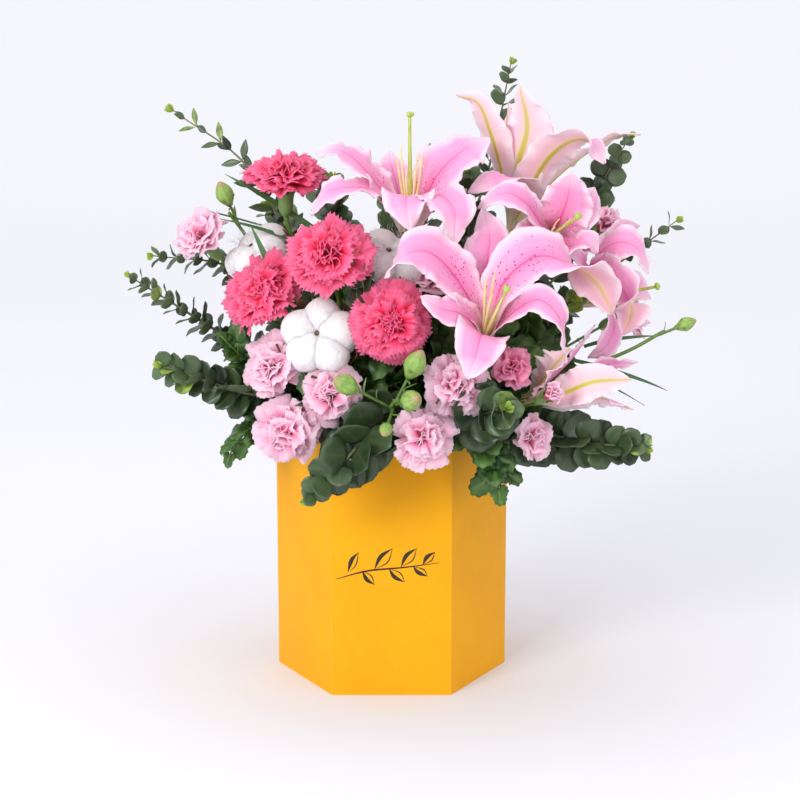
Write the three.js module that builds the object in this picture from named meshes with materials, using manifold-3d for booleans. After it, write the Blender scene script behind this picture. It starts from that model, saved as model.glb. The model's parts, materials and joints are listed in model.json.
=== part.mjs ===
// A six-sided paper-covered flower box with a lift-out insert: a plastic liner, two blocks of
// floral foam, and cut stems pushed into the foam. Millimetres, +Z up, origin at the middle of
// the box's underside. One flat side faces -Y, and two corners lie on the X axis.
import * as THREE from "three";
import { mergeVertices } from "three/addons/utils/BufferGeometryUtils.js";
import Module from "manifold-3d";

const wasm = await Module();
wasm.setup();

// Driving dimensions
const BOX_RADIUS = 100; // centre to a corner of the box, which is also the width of a side
const BOX_HEIGHT = 215;
const PAPER = 0.5; // covering paper
const BOARD = 2; // grey board
const GAP = 0.3; // between pieces that are glued or rest on each other
const TURN_IN = 18; // how far the covering paper is turned in over the rim
const LINER_WALL = 0.8;
const LINER_PLAY = 1.2; // room around the liner, so that it lifts out
const FOAM_PLAY = 0.6; // room between the foam and the liner
const LINER_HEIGHT = 205;
const FOAM_SPLIT = 120; // height at which the lower foam block ends
const FOAM_TOP = 248; // the upper block stands above the rim, for the low stems
const HOLE_PLAY = 0.45; // room around a stem in its hole
const SIX = 6;
const CORNER = 1 / Math.cos(Math.PI / SIX); // from a distance to a side to one to a corner

const UP = new THREE.Vector3(0, 0, 1);
const at = (p) => new THREE.Vector3(...p);

// ---- materials --------------------------------------------------------------------------
const finish = (color, roughness) =>
  new THREE.MeshStandardMaterial({ color, roughness, metalness: 0 });
const YELLOW_PAPER = finish(0xf6a91c, 0.55);
const GREY_BOARD = finish(0xa89f90, 0.9);
const LINER_FILM = finish(0xdfe6e4, 0.3);
const FOAM_GREEN = finish(0x3f6b3a, 0.95);
const STEM_GREEN = finish(0x4e7a35, 0.6);
const LILY_PINK = finish(0xf6a0cc, 0.45);
const CARNATION_PINK = finish(0xfa5c86, 0.6);
const SPRAY_PINK = finish(0xfb9fc4, 0.6);
const COTTON_WHITE = finish(0xf4f2f0, 0.95);
const EUCALYPTUS_GREEN = finish(0x4c6b57, 0.6);
const LEAF_GREEN = finish(0x1d4a17, 0.5);
const BUD_GREEN = finish(0x7da53e, 0.5);

// ---- solids -----------------------------------------------------------------------------
function solidOf(geometry) {
  const bare = geometry.index ? geometry.toNonIndexed() : geometry.clone();
  const points = new THREE.BufferGeometry();
  points.setAttribute("position", bare.getAttribute("position"));
  const merged = mergeVertices(points, 1e-4);
  return new wasm.Manifold(
    new wasm.Mesh({
      numProp: 3,
      vertProperties: merged.attributes.position.array,
      triVerts: new Uint32Array(merged.index.array),
    }),
  );
}

function geometryOf(solid) {
  const mesh = solid.getMesh();
  const points = new Float32Array(mesh.numVert * 3);
  for (let i = 0; i < mesh.numVert; i++) {
    const first = i * mesh.numProp;
    points.set(mesh.vertProperties.subarray(first, first + 3), i * 3);
  }
  const geometry = new THREE.BufferGeometry();
  geometry.setAttribute("position", new THREE.BufferAttribute(points, 3));
  geometry.setIndex(new THREE.BufferAttribute(mesh.triVerts, 1));
  geometry.computeVertexNormals();
  return geometry;
}

const join = (geometries) =>
  geometryOf(geometries.map(solidOf).reduce((whole, next) => whole.add(next)));

// A solid turned about +Z from a profile of [radius, height] points. shape changes the radius
// round the axis, as (angle, radius, height) => radius.
function turned(profile, segments, shape = null) {
  const points = profile.map(([radius, height]) => new THREE.Vector2(radius, height));
  const geometry = new THREE.LatheGeometry(points, segments, Math.PI / 2);
  geometry.rotateX(Math.PI / 2);
  if (shape) {
    const position = geometry.getAttribute("position");
    for (let i = 0; i < position.count; i++) {
      const [x, y, z] = [position.getX(i), position.getY(i), position.getZ(i)];
      const radius = Math.hypot(x, y);
      if (radius < 1e-3) continue;
      const angle = Math.atan2(y, x);
      const scaled = shape(angle, radius, z) / radius;
      position.setXY(i, x * scaled, y * scaled);
    }
  }
  return geometry;
}

// A round bar from one point to another, narrowing to the second radius.
function bar(from, to, radius, endRadius = radius, sides = 8) {
  const along = to.clone().sub(from);
  const geometry = new THREE.CylinderGeometry(endRadius, radius, along.length(), sides);
  geometry.rotateX(Math.PI / 2);
  geometry.applyQuaternion(new THREE.Quaternion().setFromUnitVectors(UP, along.normalize()));
  return geometry.translate(...from.clone().add(to).multiplyScalar(0.5).toArray());
}

// A round tube along a smooth curve through the points.
const STEM_STEPS = 6;
function tube(points, radius, sides = 5) {
  const outline = new THREE.Shape();
  for (let i = 0; i < sides; i++) {
    const angle = (2 * Math.PI * i) / sides;
    const [x, y] = [radius * Math.cos(angle), radius * Math.sin(angle)];
    if (i) outline.lineTo(x, y);
    else outline.moveTo(x, y);
  }
  const extrudePath = new THREE.CatmullRomCurve3(points.map(at));
  return new THREE.ExtrudeGeometry(outline, { extrudePath, steps: STEM_STEPS });
}

const root = new THREE.Group();

function place(name, geometry, material, position = null, facing = null) {
  const mesh = new THREE.Mesh(geometry, material);
  mesh.name = name;
  if (position) mesh.position.copy(position);
  if (facing) mesh.quaternion.setFromUnitVectors(UP, facing);
  root.add(mesh);
  return mesh;
}

// ---- the box ----------------------------------------------------------------------------
// Distances here are from the axis to the middle of a side, and turned() wants them to a corner.
const sixSided = (profile) =>
  turned(
    profile.map(([side, height]) => [side * CORNER, height]),
    SIX,
  );
const OUTSIDE = BOX_RADIUS / CORNER;
const BOARD_OUTSIDE = OUTSIDE - PAPER - GAP;
const BOARD_INSIDE = BOARD_OUTSIDE - BOARD;
const INSIDE = BOARD_INSIDE - GAP - PAPER;
const LINER_OUTSIDE = INSIDE - LINER_PLAY;
const FOAM_SIDE = LINER_OUTSIDE - LINER_WALL - FOAM_PLAY;
const RIM_UNDER = BOX_HEIGHT - PAPER;
const BOARD_TOP = RIM_UNDER - GAP;
const BASE_UNDER = PAPER + GAP;
const BASE_TOP = BASE_UNDER + BOARD;
const LINER_UNDER = BASE_TOP + GAP;
const FOAM_UNDER = LINER_UNDER + LINER_WALL + GAP;

function makeBox() {
  // The covering paper runs up the outside, over the rim and a short way down the inside.
  const cover = [
    [OUTSIDE - PAPER, 0],
    [OUTSIDE, 0],
    [OUTSIDE, BOX_HEIGHT],
    [INSIDE, BOX_HEIGHT],
    [INSIDE, BOX_HEIGHT - TURN_IN],
    [BOARD_INSIDE - GAP, BOX_HEIGHT - TURN_IN],
    [BOARD_INSIDE - GAP, RIM_UNDER],
    [OUTSIDE - PAPER, RIM_UNDER],
    [OUTSIDE - PAPER, 0],
  ];
  place("cover_paper", sixSided(cover), YELLOW_PAPER);
  const walls = [
    [BOARD_INSIDE, 0],
    [BOARD_OUTSIDE, 0],
    [BOARD_OUTSIDE, BOARD_TOP],
    [BOARD_INSIDE, BOARD_TOP],
    [BOARD_INSIDE, 0],
  ];
  place("wall_board", sixSided(walls), GREY_BOARD);
  const plate = (side, low, high) =>
    sixSided([
      [0, low],
      [side, low],
      [side, high],
      [0, high],
    ]);
  place("base_board", plate(BOARD_INSIDE - GAP, BASE_UNDER, BASE_TOP), GREY_BOARD);
  place("base_sheet", plate(BOARD_INSIDE - GAP, 0, PAPER), YELLOW_PAPER);
}

function makeLiner() {
  const tub = [
    [0, LINER_UNDER],
    [LINER_OUTSIDE, LINER_UNDER],
    [LINER_OUTSIDE, LINER_HEIGHT],
    [LINER_OUTSIDE - LINER_WALL, LINER_HEIGHT],
    [LINER_OUTSIDE - LINER_WALL, LINER_UNDER + LINER_WALL],
    [0, LINER_UNDER + LINER_WALL],
  ];
  place("liner", sixSided(tub), LINER_FILM);
}

// ---- cut stems --------------------------------------------------------------------------
// Each stem leaves a hole in the upper foam block.
const holes = [];

// A stem points away from its aim, [across, back, up], and its foot is this far from that.
const FOOT_FROM_AIM = 40;
function footOf(head, aim) {
  const from = at(aim);
  const along = head.clone().sub(from).normalize();
  return from.addScaledVector(along, FOOT_FROM_AIM);
}

function straightStem(foot, end, radius) {
  const beyond = foot.clone().lerp(end, -0.02);
  holes.push(bar(beyond, end, radius + HOLE_PLAY, radius + HOLE_PLAY, 8));
}

// A carnation in one piece with its stem: calyx, then a head that widens and rounds over.
function carnation({ name, head, aim, radius, stem, material, open = 1, foot = null }) {
  const top = at(head);
  const start = foot ? at(foot) : footOf(top, aim);
  const facing = top.clone().sub(start).normalize();
  const length = top.distanceTo(start);
  const base = length - radius * 1.35;
  const profile = [
    [0, 0],
    [stem, 0],
    [stem, base - radius * 0.5],
    [radius * 0.24, base],
    [radius * 0.3 * open, base + radius * 0.3],
    [radius * 0.95 * open, base + radius * 0.75],
    [radius * open, base + radius * 1.2],
    [radius * 0.62 * open, base + radius * 1.62],
    [0, base + radius * 1.78],
  ];
  place(name, turned(profile, 8), material, start, facing);
  straightStem(start, top.clone().addScaledVector(facing, -radius), stem);
}

// A lily's bloom is one six-lobed trumpet whose mouth faces along `facing`. Its stem is a node
// of its own, and ends where the trumpet begins.
const LILY_STEM = 3.6;
const NECK = 6; // radius of the rounded foot of the trumpet
const LOBES = 6;
function lily({ name, throat, facing, aim, reach, depth, close = 0, foot = null }) {
  const out = at(facing).normalize();
  const base = at(throat).addScaledVector(out, -depth);
  const wide = reach * (1 - close);
  const profile = [
    [0, -NECK],
    [NECK * 0.7, -NECK * 0.7],
    [NECK, 0],
    [9, depth * 0.5],
    [wide * 0.36, depth * 1.05],
    [wide * 0.72, depth * 1.35],
    [wide, depth * 1.3 + reach * close * 0.9],
    [wide * 0.7, depth * 1.42 + reach * close * 0.4],
    [wide * 0.32, depth * 1.2],
    [5, depth * 0.75],
    [0, depth * 0.7],
  ];
  const lobed = (angle, radius) => {
    const share = Math.min(1, radius / (wide * 0.36));
    const lobe = 0.5 + 0.5 * Math.cos(LOBES * angle);
    return radius * (1 - 0.42 * share * (1 - lobe));
  };
  place(`${name}_bloom`, turned(profile, 2 * LOBES, lobed), LILY_PINK, base, out);
  const start = foot ? at(foot) : footOf(base, aim);
  const along = base.clone().sub(start).normalize();
  const end = base.clone().addScaledVector(along, -NECK - GAP);
  const stem = join([bar(start, end, LILY_STEM)]);
  place(`${name}_stem`, stem, STEM_GREEN);
  straightStem(start, end, LILY_STEM);
}

// A ripe cotton boll: five soft lobes on a husk and a woody stem, in one piece.
const COTTON_STEM = 2;
const LOCKS = 5;
function cotton({ name, head, aim, radius, foot = null }) {
  const top = at(head);
  const start = foot ? at(foot) : footOf(top, aim);
  const facing = top.clone().sub(start).normalize();
  const base = top.distanceTo(start) - radius;
  const profile = [
    [0, 0],
    [COTTON_STEM, 0],
    [COTTON_STEM, base - 4],
    [radius * 0.42, base],
    [radius * 0.9, base + radius * 0.35],
    [radius, base + radius * 0.85],
    [radius * 0.72, base + radius * 1.35],
    [0, base + radius * 1.4],
  ];
  const locks = (angle, r) =>
    r < COTTON_STEM * 1.5 ? r : r * (0.93 + 0.07 * Math.cos(LOCKS * angle));
  place(name, turned(profile, 2 * LOCKS, locks), COTTON_WHITE, start, facing);
  straightStem(start, top.clone().addScaledVector(facing, -radius), COTTON_STEM);
}

// A leafy sprig: a stem through the points of its path, and pairs of flat pointed leaves at the
// joints of the stem, getting smaller toward the end.
function sprig({ name, path, pairs, width, length, material, radius = 1.5 }) {
  const curve = new THREE.CatmullRomCurve3(path.map(at));
  const pieces = [tube(path, radius)];
  for (let pair = 0; pair < pairs; pair++) {
    const share = (STEM_STEPS - pairs + 1 + pair) / STEM_STEPS;
    const size = 1 - (0.5 * pair) / pairs;
    const point = curve.getPointAt(share);
    const along = curve.getTangentAt(share);
    const side = new THREE.Vector3().crossVectors(along, UP).normalize();
    if (pair % 2) side.applyAxisAngle(along, Math.PI / 2);
    for (const way of [1, -1]) {
      const out = side.clone().multiplyScalar(way).addScaledVector(along, 0.4).normalize();
      const flat = new THREE.Vector3().crossVectors(out, along).normalize();
      const across = new THREE.Vector3().crossVectors(out, flat);
      const leaf = new THREE.OctahedronGeometry(1);
      leaf.scale((width / 2) * size, (length / 2) * size, 1.2);
      leaf.translate(0, (length / 2) * size - 2 * radius, 0);
      leaf.applyMatrix4(new THREE.Matrix4().makeBasis(across, out, flat));
      pieces.push(leaf.translate(...point.toArray()));
    }
  }
  place(name, join(pieces), material);
  holes.push(tube(path, radius + HOLE_PLAY));
}

// Flower buds on short side shoots of one stem.
function buds({ name, path, ends, radius = 1.5 }) {
  const pieces = [tube(path, radius)];
  for (const { from, to, size } of ends) {
    const [low, high] = [at(from), at(to)];
    const along = high.clone().sub(low).normalize();
    const egg = turned(
      [
        [0, -1],
        [0.7, -0.75],
        [1, 0],
        [0.75, 0.75],
        [0, 1.25],
      ],
      7,
    );
    egg.scale(size * 0.5, size * 0.5, size * 0.68);
    egg.applyQuaternion(new THREE.Quaternion().setFromUnitVectors(UP, along));
    pieces.push(bar(low, high, radius * 0.8, radius * 0.8, 6), egg.translate(...to));
  }
  place(name, join(pieces), BUD_GREEN);
  holes.push(tube(path, radius + HOLE_PLAY));
}

function makeLilies() {
  lily({
    name: "lily_top",
    throat: [16, -48, 404],
    facing: [0.02, -0.42, 0.9],
    aim: [4, 8, 130],
    reach: 74,
    depth: 46,
  });
  lily({
    name: "lily_front",
    throat: [78, -116, 318],
    facing: [0.12, -0.8, 0.58],
    aim: [0, 0, 180],
    reach: 66,
    depth: 40,
  });
  lily({
    name: "lily_right",
    throat: [136, -60, 391],
    facing: [0.2, -0.85, 0.5],
    aim: [4, -14, 170],
    reach: 60,
    depth: 44,
    close: 0.45,
  });
  lily({
    name: "lily_crown",
    throat: [110, 22, 405],
    facing: [0.25, 0.22, 0.94],
    aim: [-10, 14, 130],
    reach: 84,
    depth: 46,
    close: 0.25,
  });
  lily({
    name: "lily_side",
    throat: [178, -22, 330],
    facing: [0.86, -0.4, 0.3],
    aim: [0, 4, 180],
    reach: 60,
    depth: 42,
  });
  lily({
    name: "lily_half",
    throat: [150, -84, 258],
    facing: [0.95, -0.2, 0.2],
    reach: 58,
    depth: 44,
    close: 0.62,
    foot: [44, -34, 232],
  });
}

const SPRAY_STEM = 1.4;
const CARNATION_STEM = 2.4;
const bigCarnation = { radius: 31, stem: CARNATION_STEM, material: CARNATION_PINK };
const smallCarnation = { radius: 23, stem: SPRAY_STEM, material: SPRAY_PINK };

function makeCarnations() {
  const big = [
    ["carnation_top", [-88, -22, 430], [0, 8, 130]],
    ["carnation_centre", [-48, -112, 374], [-12, 0, 180]],
    ["carnation_left", [-104, -80, 340], [0, -16, 180]],
    ["carnation_front", [0, -128, 322], [0, 0, 180]],
  ];
  big.forEach(([name, head, aim]) => carnation({ ...bigCarnation, name, head, aim }));
  const small = [
    ["spray_left_far", [-160, -28, 380], [0, 34, 180]],
    ["spray_left_upper", [-96, -106, 283], [6, -12, 212]],
    ["spray_left_inner", [-48, -128, 266], [0, 0, 212]],
    ["spray_left_low", [-84, -126, 234], [2, -12, 214]],
    ["spray_front_low", [26, -150, 234], [0, 0, 212]],
    ["spray_front_right", [52, -138, 274], [0, 0, 212]],
    ["spray_middle", [37, -70, 350], [0, 0, 180]],
    ["spray_back_top", [186, 40, 384], [0, 24, 180]],
    ["spray_back_right", [206, 38, 306], [0, 10, 190]],
    ["spray_rear_left", [-80, 88, 340], [0, 0, 180]],
    ["spray_rear_right", [74, 100, 330], [0, 0, 180]],
  ];
  small.forEach(([name, head, aim]) => carnation({ ...smallCarnation, name, head, aim }));
  const halfOpen = [
    ["spray_right_upper", [96, -118, 284], [14, 0, 212], 19, 0.9],
    ["spray_right_bud", [126, -122, 264], [22, -14, 212], 16, 0.6],
    ["spray_right_low", [112, -112, 226], [26, 0, 212], 20, 0.85],
  ];
  halfOpen.forEach(([name, head, aim, radius, open]) =>
    carnation({ ...smallCarnation, name, head, aim, radius, open }),
  );
}

function makeCotton() {
  const bolls = [
    ["cotton_front", [-60, -116, 316], [0, 0, 180]],
    ["cotton_middle", [-4, -73, 374], [-4, 0, 180]],
    ["cotton_left", [-116, -24, 372], [-4, -16, 180]],
  ];
  bolls.forEach(([name, head, aim]) => cotton({ name, head, aim, radius: 27 }));
}

const roundLeaf = { width: 22, length: 26, pairs: 4, material: EUCALYPTUS_GREEN };
const darkLeaf = { width: 28, length: 38, pairs: 2, material: LEAF_GREEN };

function makeFoliage() {
  const sprigs = [
    ["eucalyptus_top_left", [[-26, 12, 212], [-66, 20, 320], [-118, 8, 430], [-182, 0, 482]]],
    ["eucalyptus_left", [[-30, 8, 214], [-92, -14, 262], [-150, -36, 304], [-216, -44, 348]]],
    ["eucalyptus_left_upper", [[-36, 22, 216], [-82, 26, 294], [-136, 12, 348], [-203, 4, 360]]],
    ["eucalyptus_left_low", [[-34, -10, 226], [-92, -42, 244], [-130, -62, 256], [-188, -72, 278]]],
    ["eucalyptus_front", [[-12, -30, 232], [-14, -98, 236], [-30, -146, 222], [-66, -154, 186]]],
    ["eucalyptus_right_low", [[56, -34, 224], [96, -60, 228], [150, -86, 218], [206, -94, 214]]],
    ["eucalyptus_right_top", [[24, 34, 212], [96, 56, 300], [160, 66, 380], [206, 48, 458]]],
    ["eucalyptus_top", [[12, 22, 208], [46, 60, 320], [84, 92, 420], [104, 76, 520]]],
    ["eucalyptus_right_far", [[38, 22, 216], [104, 46, 270], [180, 66, 330], [250, 62, 384]]],
    ["eucalyptus_centre_left", [[-12, 18, 208], [-48, 44, 296], [-80, 46, 360], [-104, 34, 398]]],
    ["eucalyptus_rear_left", [[-18, 24, 214], [-30, 70, 290], [-50, 118, 350], [-70, 150, 410]]],
    ["eucalyptus_rear_right", [[10, 30, 214], [20, 80, 300], [26, 126, 370], [36, 156, 440]]],
  ];
  sprigs.forEach(([name, path]) => sprig({ ...roundLeaf, name, path }));
  const greens = [
    ["leaf_spray_front_right", [[22, -30, 234], [62, -96, 232], [80, -112, 214], [88, -118, 176]]],
    ["leaf_spray_left_low", [[-36, -22, 230], [-94, -60, 230], [-124, -72, 220], [-136, -78, 196]]],
    ["leaf_spray_left", [[-40, -8, 222], [-88, -34, 252], [-120, -56, 280], [-139, -73, 303]]],
    ["leaf_spray_right_low", [[60, -8, 222], [104, -24, 236], [142, -36, 224], [166, -40, 200]]],
    ["leaf_spray_rear", [[4, 38, 226], [6, 96, 250], [4, 128, 262], [0, 152, 250]]],
  ];
  greens.forEach(([name, path]) => sprig({ ...darkLeaf, name, path }));
  buds({
    name: "bud_stem_front",
    path: [[8, -32, 228], [6, -96, 240], [0, -138, 256], [6, -152, 266]],
    ends: [
      { from: [4, -148, 263], to: [16, -156, 288], size: 17 },
      { from: [0, -138, 256], to: [-30, -160, 276], size: 16 },
    ],
  });
  buds({
    name: "bud_stem_left",
    path: [[-20, 32, 214], [-80, 34, 300], [-120, 10, 370], [-136, -14, 398]],
    ends: [{ from: [-128, -6, 386], to: [-137, -16, 409], size: 17 }],
  });
  buds({
    name: "bud_stem_right",
    path: [[48, -22, 222], [112, -46, 256], [184, -72, 286], [222, -80, 308]],
    ends: [{ from: [214, -78, 303], to: [234, -80, 326], size: 12 }],
  });
}

function makeFoam() {
  const block = (low, high) =>
    sixSided([
      [0, low],
      [FOAM_SIDE, low],
      [FOAM_SIDE, high],
      [0, high],
    ]);
  place("foam_lower", block(FOAM_UNDER, FOAM_SPLIT), FOAM_GREEN);
  let upper = solidOf(block(FOAM_SPLIT + GAP, FOAM_TOP));
  for (const hole of holes) upper = upper.subtract(solidOf(hole));
  place("foam_upper", geometryOf(upper), FOAM_GREEN);
}

makeBox();
makeLiner();
makeLilies();
makeCarnations();
makeCotton();
makeFoliage();
makeFoam();

export default root;
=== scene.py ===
import json
import math

import bpy
import numpy as np
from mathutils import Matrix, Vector


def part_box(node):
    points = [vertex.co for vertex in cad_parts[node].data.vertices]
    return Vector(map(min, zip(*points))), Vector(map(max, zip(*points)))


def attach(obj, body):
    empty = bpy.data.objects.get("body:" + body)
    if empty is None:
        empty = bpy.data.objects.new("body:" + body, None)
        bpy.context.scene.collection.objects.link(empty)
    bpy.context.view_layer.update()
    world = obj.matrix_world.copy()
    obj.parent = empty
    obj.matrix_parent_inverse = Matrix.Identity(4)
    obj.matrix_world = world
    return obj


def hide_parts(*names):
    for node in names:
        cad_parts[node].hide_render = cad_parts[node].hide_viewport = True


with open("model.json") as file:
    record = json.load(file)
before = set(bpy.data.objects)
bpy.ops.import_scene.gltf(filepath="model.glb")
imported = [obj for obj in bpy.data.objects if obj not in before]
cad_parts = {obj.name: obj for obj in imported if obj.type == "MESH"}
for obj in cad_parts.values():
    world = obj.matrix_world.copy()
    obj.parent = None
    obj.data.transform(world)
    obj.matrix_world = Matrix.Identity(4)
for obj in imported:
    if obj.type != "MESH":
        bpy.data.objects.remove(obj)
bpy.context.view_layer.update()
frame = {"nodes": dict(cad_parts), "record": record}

MM = 0.001
UP = np.array((0.0, 0.0, 1.0))
GOLDEN = 2.39996  # the turn, in radians, from one petal or leaf to the next up a stem
FIFTH = 1.2566  # a fifth of a full turn
FOAM_TOP = 246  # leaves start from here, just inside the foam
PETAL_THICKNESS, FRILL_THICKNESS, LEAF_THICKNESS = 0.7, 0.4, 0.45


# ---- small helpers -------------------------------------------------------------------------
def vec(*values):
    return np.array(values, float)


def unit(v):
    return v / (np.linalg.norm(v) + 1e-12)


def curve_through(stops, at):
    """Smooth values through (place, value) stops, read at the places `at`."""
    places, values = np.array(stops, float).T
    slopes = np.gradient(values, places)
    index = np.clip(np.searchsorted(places, at) - 1, 0, len(places) - 2)
    gap = places[index + 1] - places[index]
    t = (at - places[index]) / gap
    a, b = values[index], values[index + 1]
    m, n = slopes[index] * gap, slopes[index + 1] * gap
    h = 2 * t**3 - 3 * t**2
    return a * (h + 1) - b * h + m * (t**3 - 2 * t**2 + t) + n * (t**3 - t**2)


def bezier(a, b, c, d, t):
    t = t[:, None]
    return a * (1 - t) ** 3 + 3 * b * t * (1 - t) ** 2 + 3 * c * t**2 * (1 - t) + d * t**3


def smooth_path(points, count):
    """A Catmull-Rom curve through the points, as `count` points spaced evenly along it."""
    p = np.array(points, float)
    p = np.vstack([2 * p[0] - p[1], p, 2 * p[-1] - p[-2]])
    fine = []
    for i in range(1, len(p) - 2):
        for t in np.linspace(0, 1, 16, endpoint=False):
            a, b, c, d = p[i - 1 : i + 3]
            bend = (2 * a - 5 * b + 4 * c - d) * t**2 + (3 * b - a - 3 * c + d) * t**3
            fine.append(0.5 * (2 * b + (c - a) * t + bend))
    fine = np.array(fine + [p[-2]])
    run = np.r_[0, np.cumsum(np.linalg.norm(np.diff(fine, axis=0), axis=1))]
    want = np.linspace(0, run[-1], count)
    return np.stack([np.interp(want, run, fine[:, k]) for k in range(3)], 1)


def frame_about(axis):
    """Three unit vectors: two across the axis, and the axis."""
    axis = unit(np.array(axis, float))
    hint = vec(0, -1, 0) if abs(axis @ UP) > 0.97 else UP
    side = unit(np.cross(hint, axis))
    return side, np.cross(axis, side), axis


def turned(side, other, angle):
    """The direction at an angle between two that are square to each other."""
    return side * math.cos(angle) + other * math.sin(angle)


def headings(path):
    """The unit direction of a path at each of its points."""
    along = np.gradient(path, axis=0)
    return along / np.linalg.norm(along, axis=1, keepdims=True)


def stalk_line(foot, head, before, after, steps):
    """A stem that leaves its foot straight and bends into the base of its flower."""
    return bezier(foot, foot + (head - foot) * 0.6, before, after, steps)


def spread(line, *shifts):
    """A grid of points: a line, moved at each place by amounts (row, column) along directions."""
    grid = line[:, None, :]
    for direction, amounts in shifts:
        grid = grid + (direction[:, None, :] if direction.ndim == 2 else direction) * amounts[..., None]
    return grid


# ---- parts: points, faces, places on the surface, material number and tone --------------------
def part(points, faces, uv, material=0, tone=0.5):
    faces = [np.asarray(f, np.int64) for f in (faces if isinstance(faces, list) else [faces])]
    numbers = material if isinstance(material, list) else [material] * len(faces)
    return dict(points=points, faces=faces, uv=uv, material=numbers, tone=tone)


def shell(grid, thickness, tone=0.5, top=0, under=1):
    """A closed thin shell round a grid of points. Its top is along x across."""
    rows, cols = grid.shape[:2]
    along, across = np.gradient(grid, axis=0), np.gradient(grid, axis=1)
    normal = np.cross(along, across)
    normal /= np.linalg.norm(normal, axis=2, keepdims=True) + 1e-9
    half = thickness / 2 * normal
    points = np.concatenate([(grid + half).reshape(-1, 3), (grid - half).reshape(-1, 3)])
    index = np.arange(rows * cols).reshape(rows, cols)
    a, b, c, d = index[:-1, :-1], index[1:, :-1], index[1:, 1:], index[:-1, 1:]
    upper = np.stack([a, b, c, d], -1).reshape(-1, 4)
    lower = np.stack([a, d, c, b], -1).reshape(-1, 4) + rows * cols
    edge = np.r_[index[:, 0], index[-1, 1:], index[-2::-1, -1], index[0, -2:0:-1]]
    ahead = np.roll(edge, -1)
    rim = np.stack([ahead, edge, edge + rows * cols, ahead + rows * cols], -1)
    v, u = np.meshgrid(np.linspace(0, 1, rows), np.linspace(0, 1, cols), indexing="ij")
    uv = np.tile(np.stack([u, v], -1).reshape(-1, 2), (2, 1))
    return part(points, [upper, lower, rim], uv, [top, under, top], tone)


def round_faces(rings, sides):
    """Walls between rings of points, and a fan to a point at each end."""
    index = np.arange(rings * sides).reshape(rings, sides)
    ahead = np.roll(index, -1, axis=1)
    walls = np.stack([index[:-1], ahead[:-1], ahead[1:], index[1:]], -1).reshape(-1, 4)
    foot = np.stack([np.full(sides, index.size), ahead[0], index[0]], -1)
    head = np.stack([np.full(sides, index.size + 1), index[-1], ahead[-1]], -1)
    return [walls, foot, head]


def with_poles(u, v):
    return np.concatenate([np.stack([u, v], -1).reshape(-1, 2), [[0.5, 0], [0.5, 1]]])


def tube(path, radii, sides=8, tone=0.5, material=0):
    """A closed round tube along a path, with rounded-off ends."""
    path = np.array(path, float)
    radii = np.broadcast_to(np.array(radii, float), len(path)).copy()
    along = headings(path)
    side, rings = frame_about(along[0])[0], []
    angles = np.linspace(0, 2 * np.pi, sides, endpoint=False)
    for point, way, radius in zip(path, along, radii):
        side = unit(side - way * (side @ way))
        other = np.cross(way, side)
        rings.append(point + radius * (np.outer(np.cos(angles), side) + np.outer(np.sin(angles), other)))
    points = np.concatenate(
        rings + [path[:1] - along[:1] * radii[0] * 0.4, path[-1:] + along[-1:] * radii[-1] * 0.4]
    )
    v = np.repeat(np.linspace(0, 1, len(path)), sides)
    u = np.tile(np.linspace(0, 1, sides), len(path))
    return part(points, round_faces(len(path), sides), with_poles(u, v), material, tone)


def ball(centre, radii, facing=UP, shape=None, rings=8, sides=12, tone=0.5, material=0):
    """A closed rounded body. shape(angle round, share of height) scales its radius."""
    side, other, axis = frame_about(facing)
    polar = np.linspace(0, np.pi, rings + 1)[1:-1]
    around = np.linspace(0, 2 * np.pi, sides, endpoint=False)
    t, a = np.meshgrid(polar, around, indexing="ij")
    scale = shape(a, 0.5 - 0.5 * np.cos(t)) if shape else np.ones_like(a)
    x, y, z = np.sin(t) * np.cos(a) * scale, np.sin(t) * np.sin(a) * scale, -np.cos(t)
    body = x[..., None] * side * radii[0] + y[..., None] * other * radii[0] + z[..., None] * axis * radii[1]
    points = np.concatenate([body.reshape(-1, 3), [-axis * radii[1], axis * radii[1]]]) + centre
    uv = with_poles(a / (2 * np.pi), 0.5 - 0.5 * np.cos(t))
    return part(points, round_faces(rings - 1, sides), uv, material, tone)


def make_piece(name, parts, materials, body, replaces=()):
    """One mesh from many parts, riding on a body of the frame."""
    points, uv, tones, flat, starts, numbers = [], [], [], [], [], []
    offset = corner = 0
    for p in parts:
        points.append(p["points"])
        uv.append(p["uv"])
        tones.append(np.full(len(p["points"]), p["tone"], np.float32))
        for faces, number in zip(p["faces"], p["material"]):
            flat.append((faces + offset).ravel())
            starts.append(corner + np.arange(len(faces)) * faces.shape[1])
            numbers.append(np.full(len(faces), number, np.int32))
            corner += faces.size
        offset += len(p["points"])
    points, uv, flat = np.concatenate(points) * MM, np.concatenate(uv), np.concatenate(flat)
    starts, numbers = np.concatenate(starts), np.concatenate(numbers)
    mesh = bpy.data.meshes.new(name)
    mesh.vertices.add(len(points))
    mesh.vertices.foreach_set("co", points.ravel().astype(np.float32))
    mesh.loops.add(len(flat))
    mesh.loops.foreach_set("vertex_index", flat.astype(np.int32))
    mesh.polygons.add(len(starts))
    mesh.polygons.foreach_set("loop_start", starts.astype(np.int32))
    mesh.polygons.foreach_set("material_index", numbers)
    mesh.polygons.foreach_set("use_smooth", np.ones(len(starts), bool))
    layer = mesh.uv_layers.new(name="UVMap")
    layer.data.foreach_set("uv", uv[flat].ravel().astype(np.float32))
    tone = mesh.attributes.new("tone", "FLOAT", "POINT")
    tone.data.foreach_set("value", np.concatenate(tones))
    mesh.update(calc_edges=True)
    mesh.validate()
    piece = bpy.data.objects.new(name, mesh)
    bpy.context.scene.collection.objects.link(piece)
    for material in materials:
        mesh.materials.append(material)
    keep(piece, body, replaces)


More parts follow.
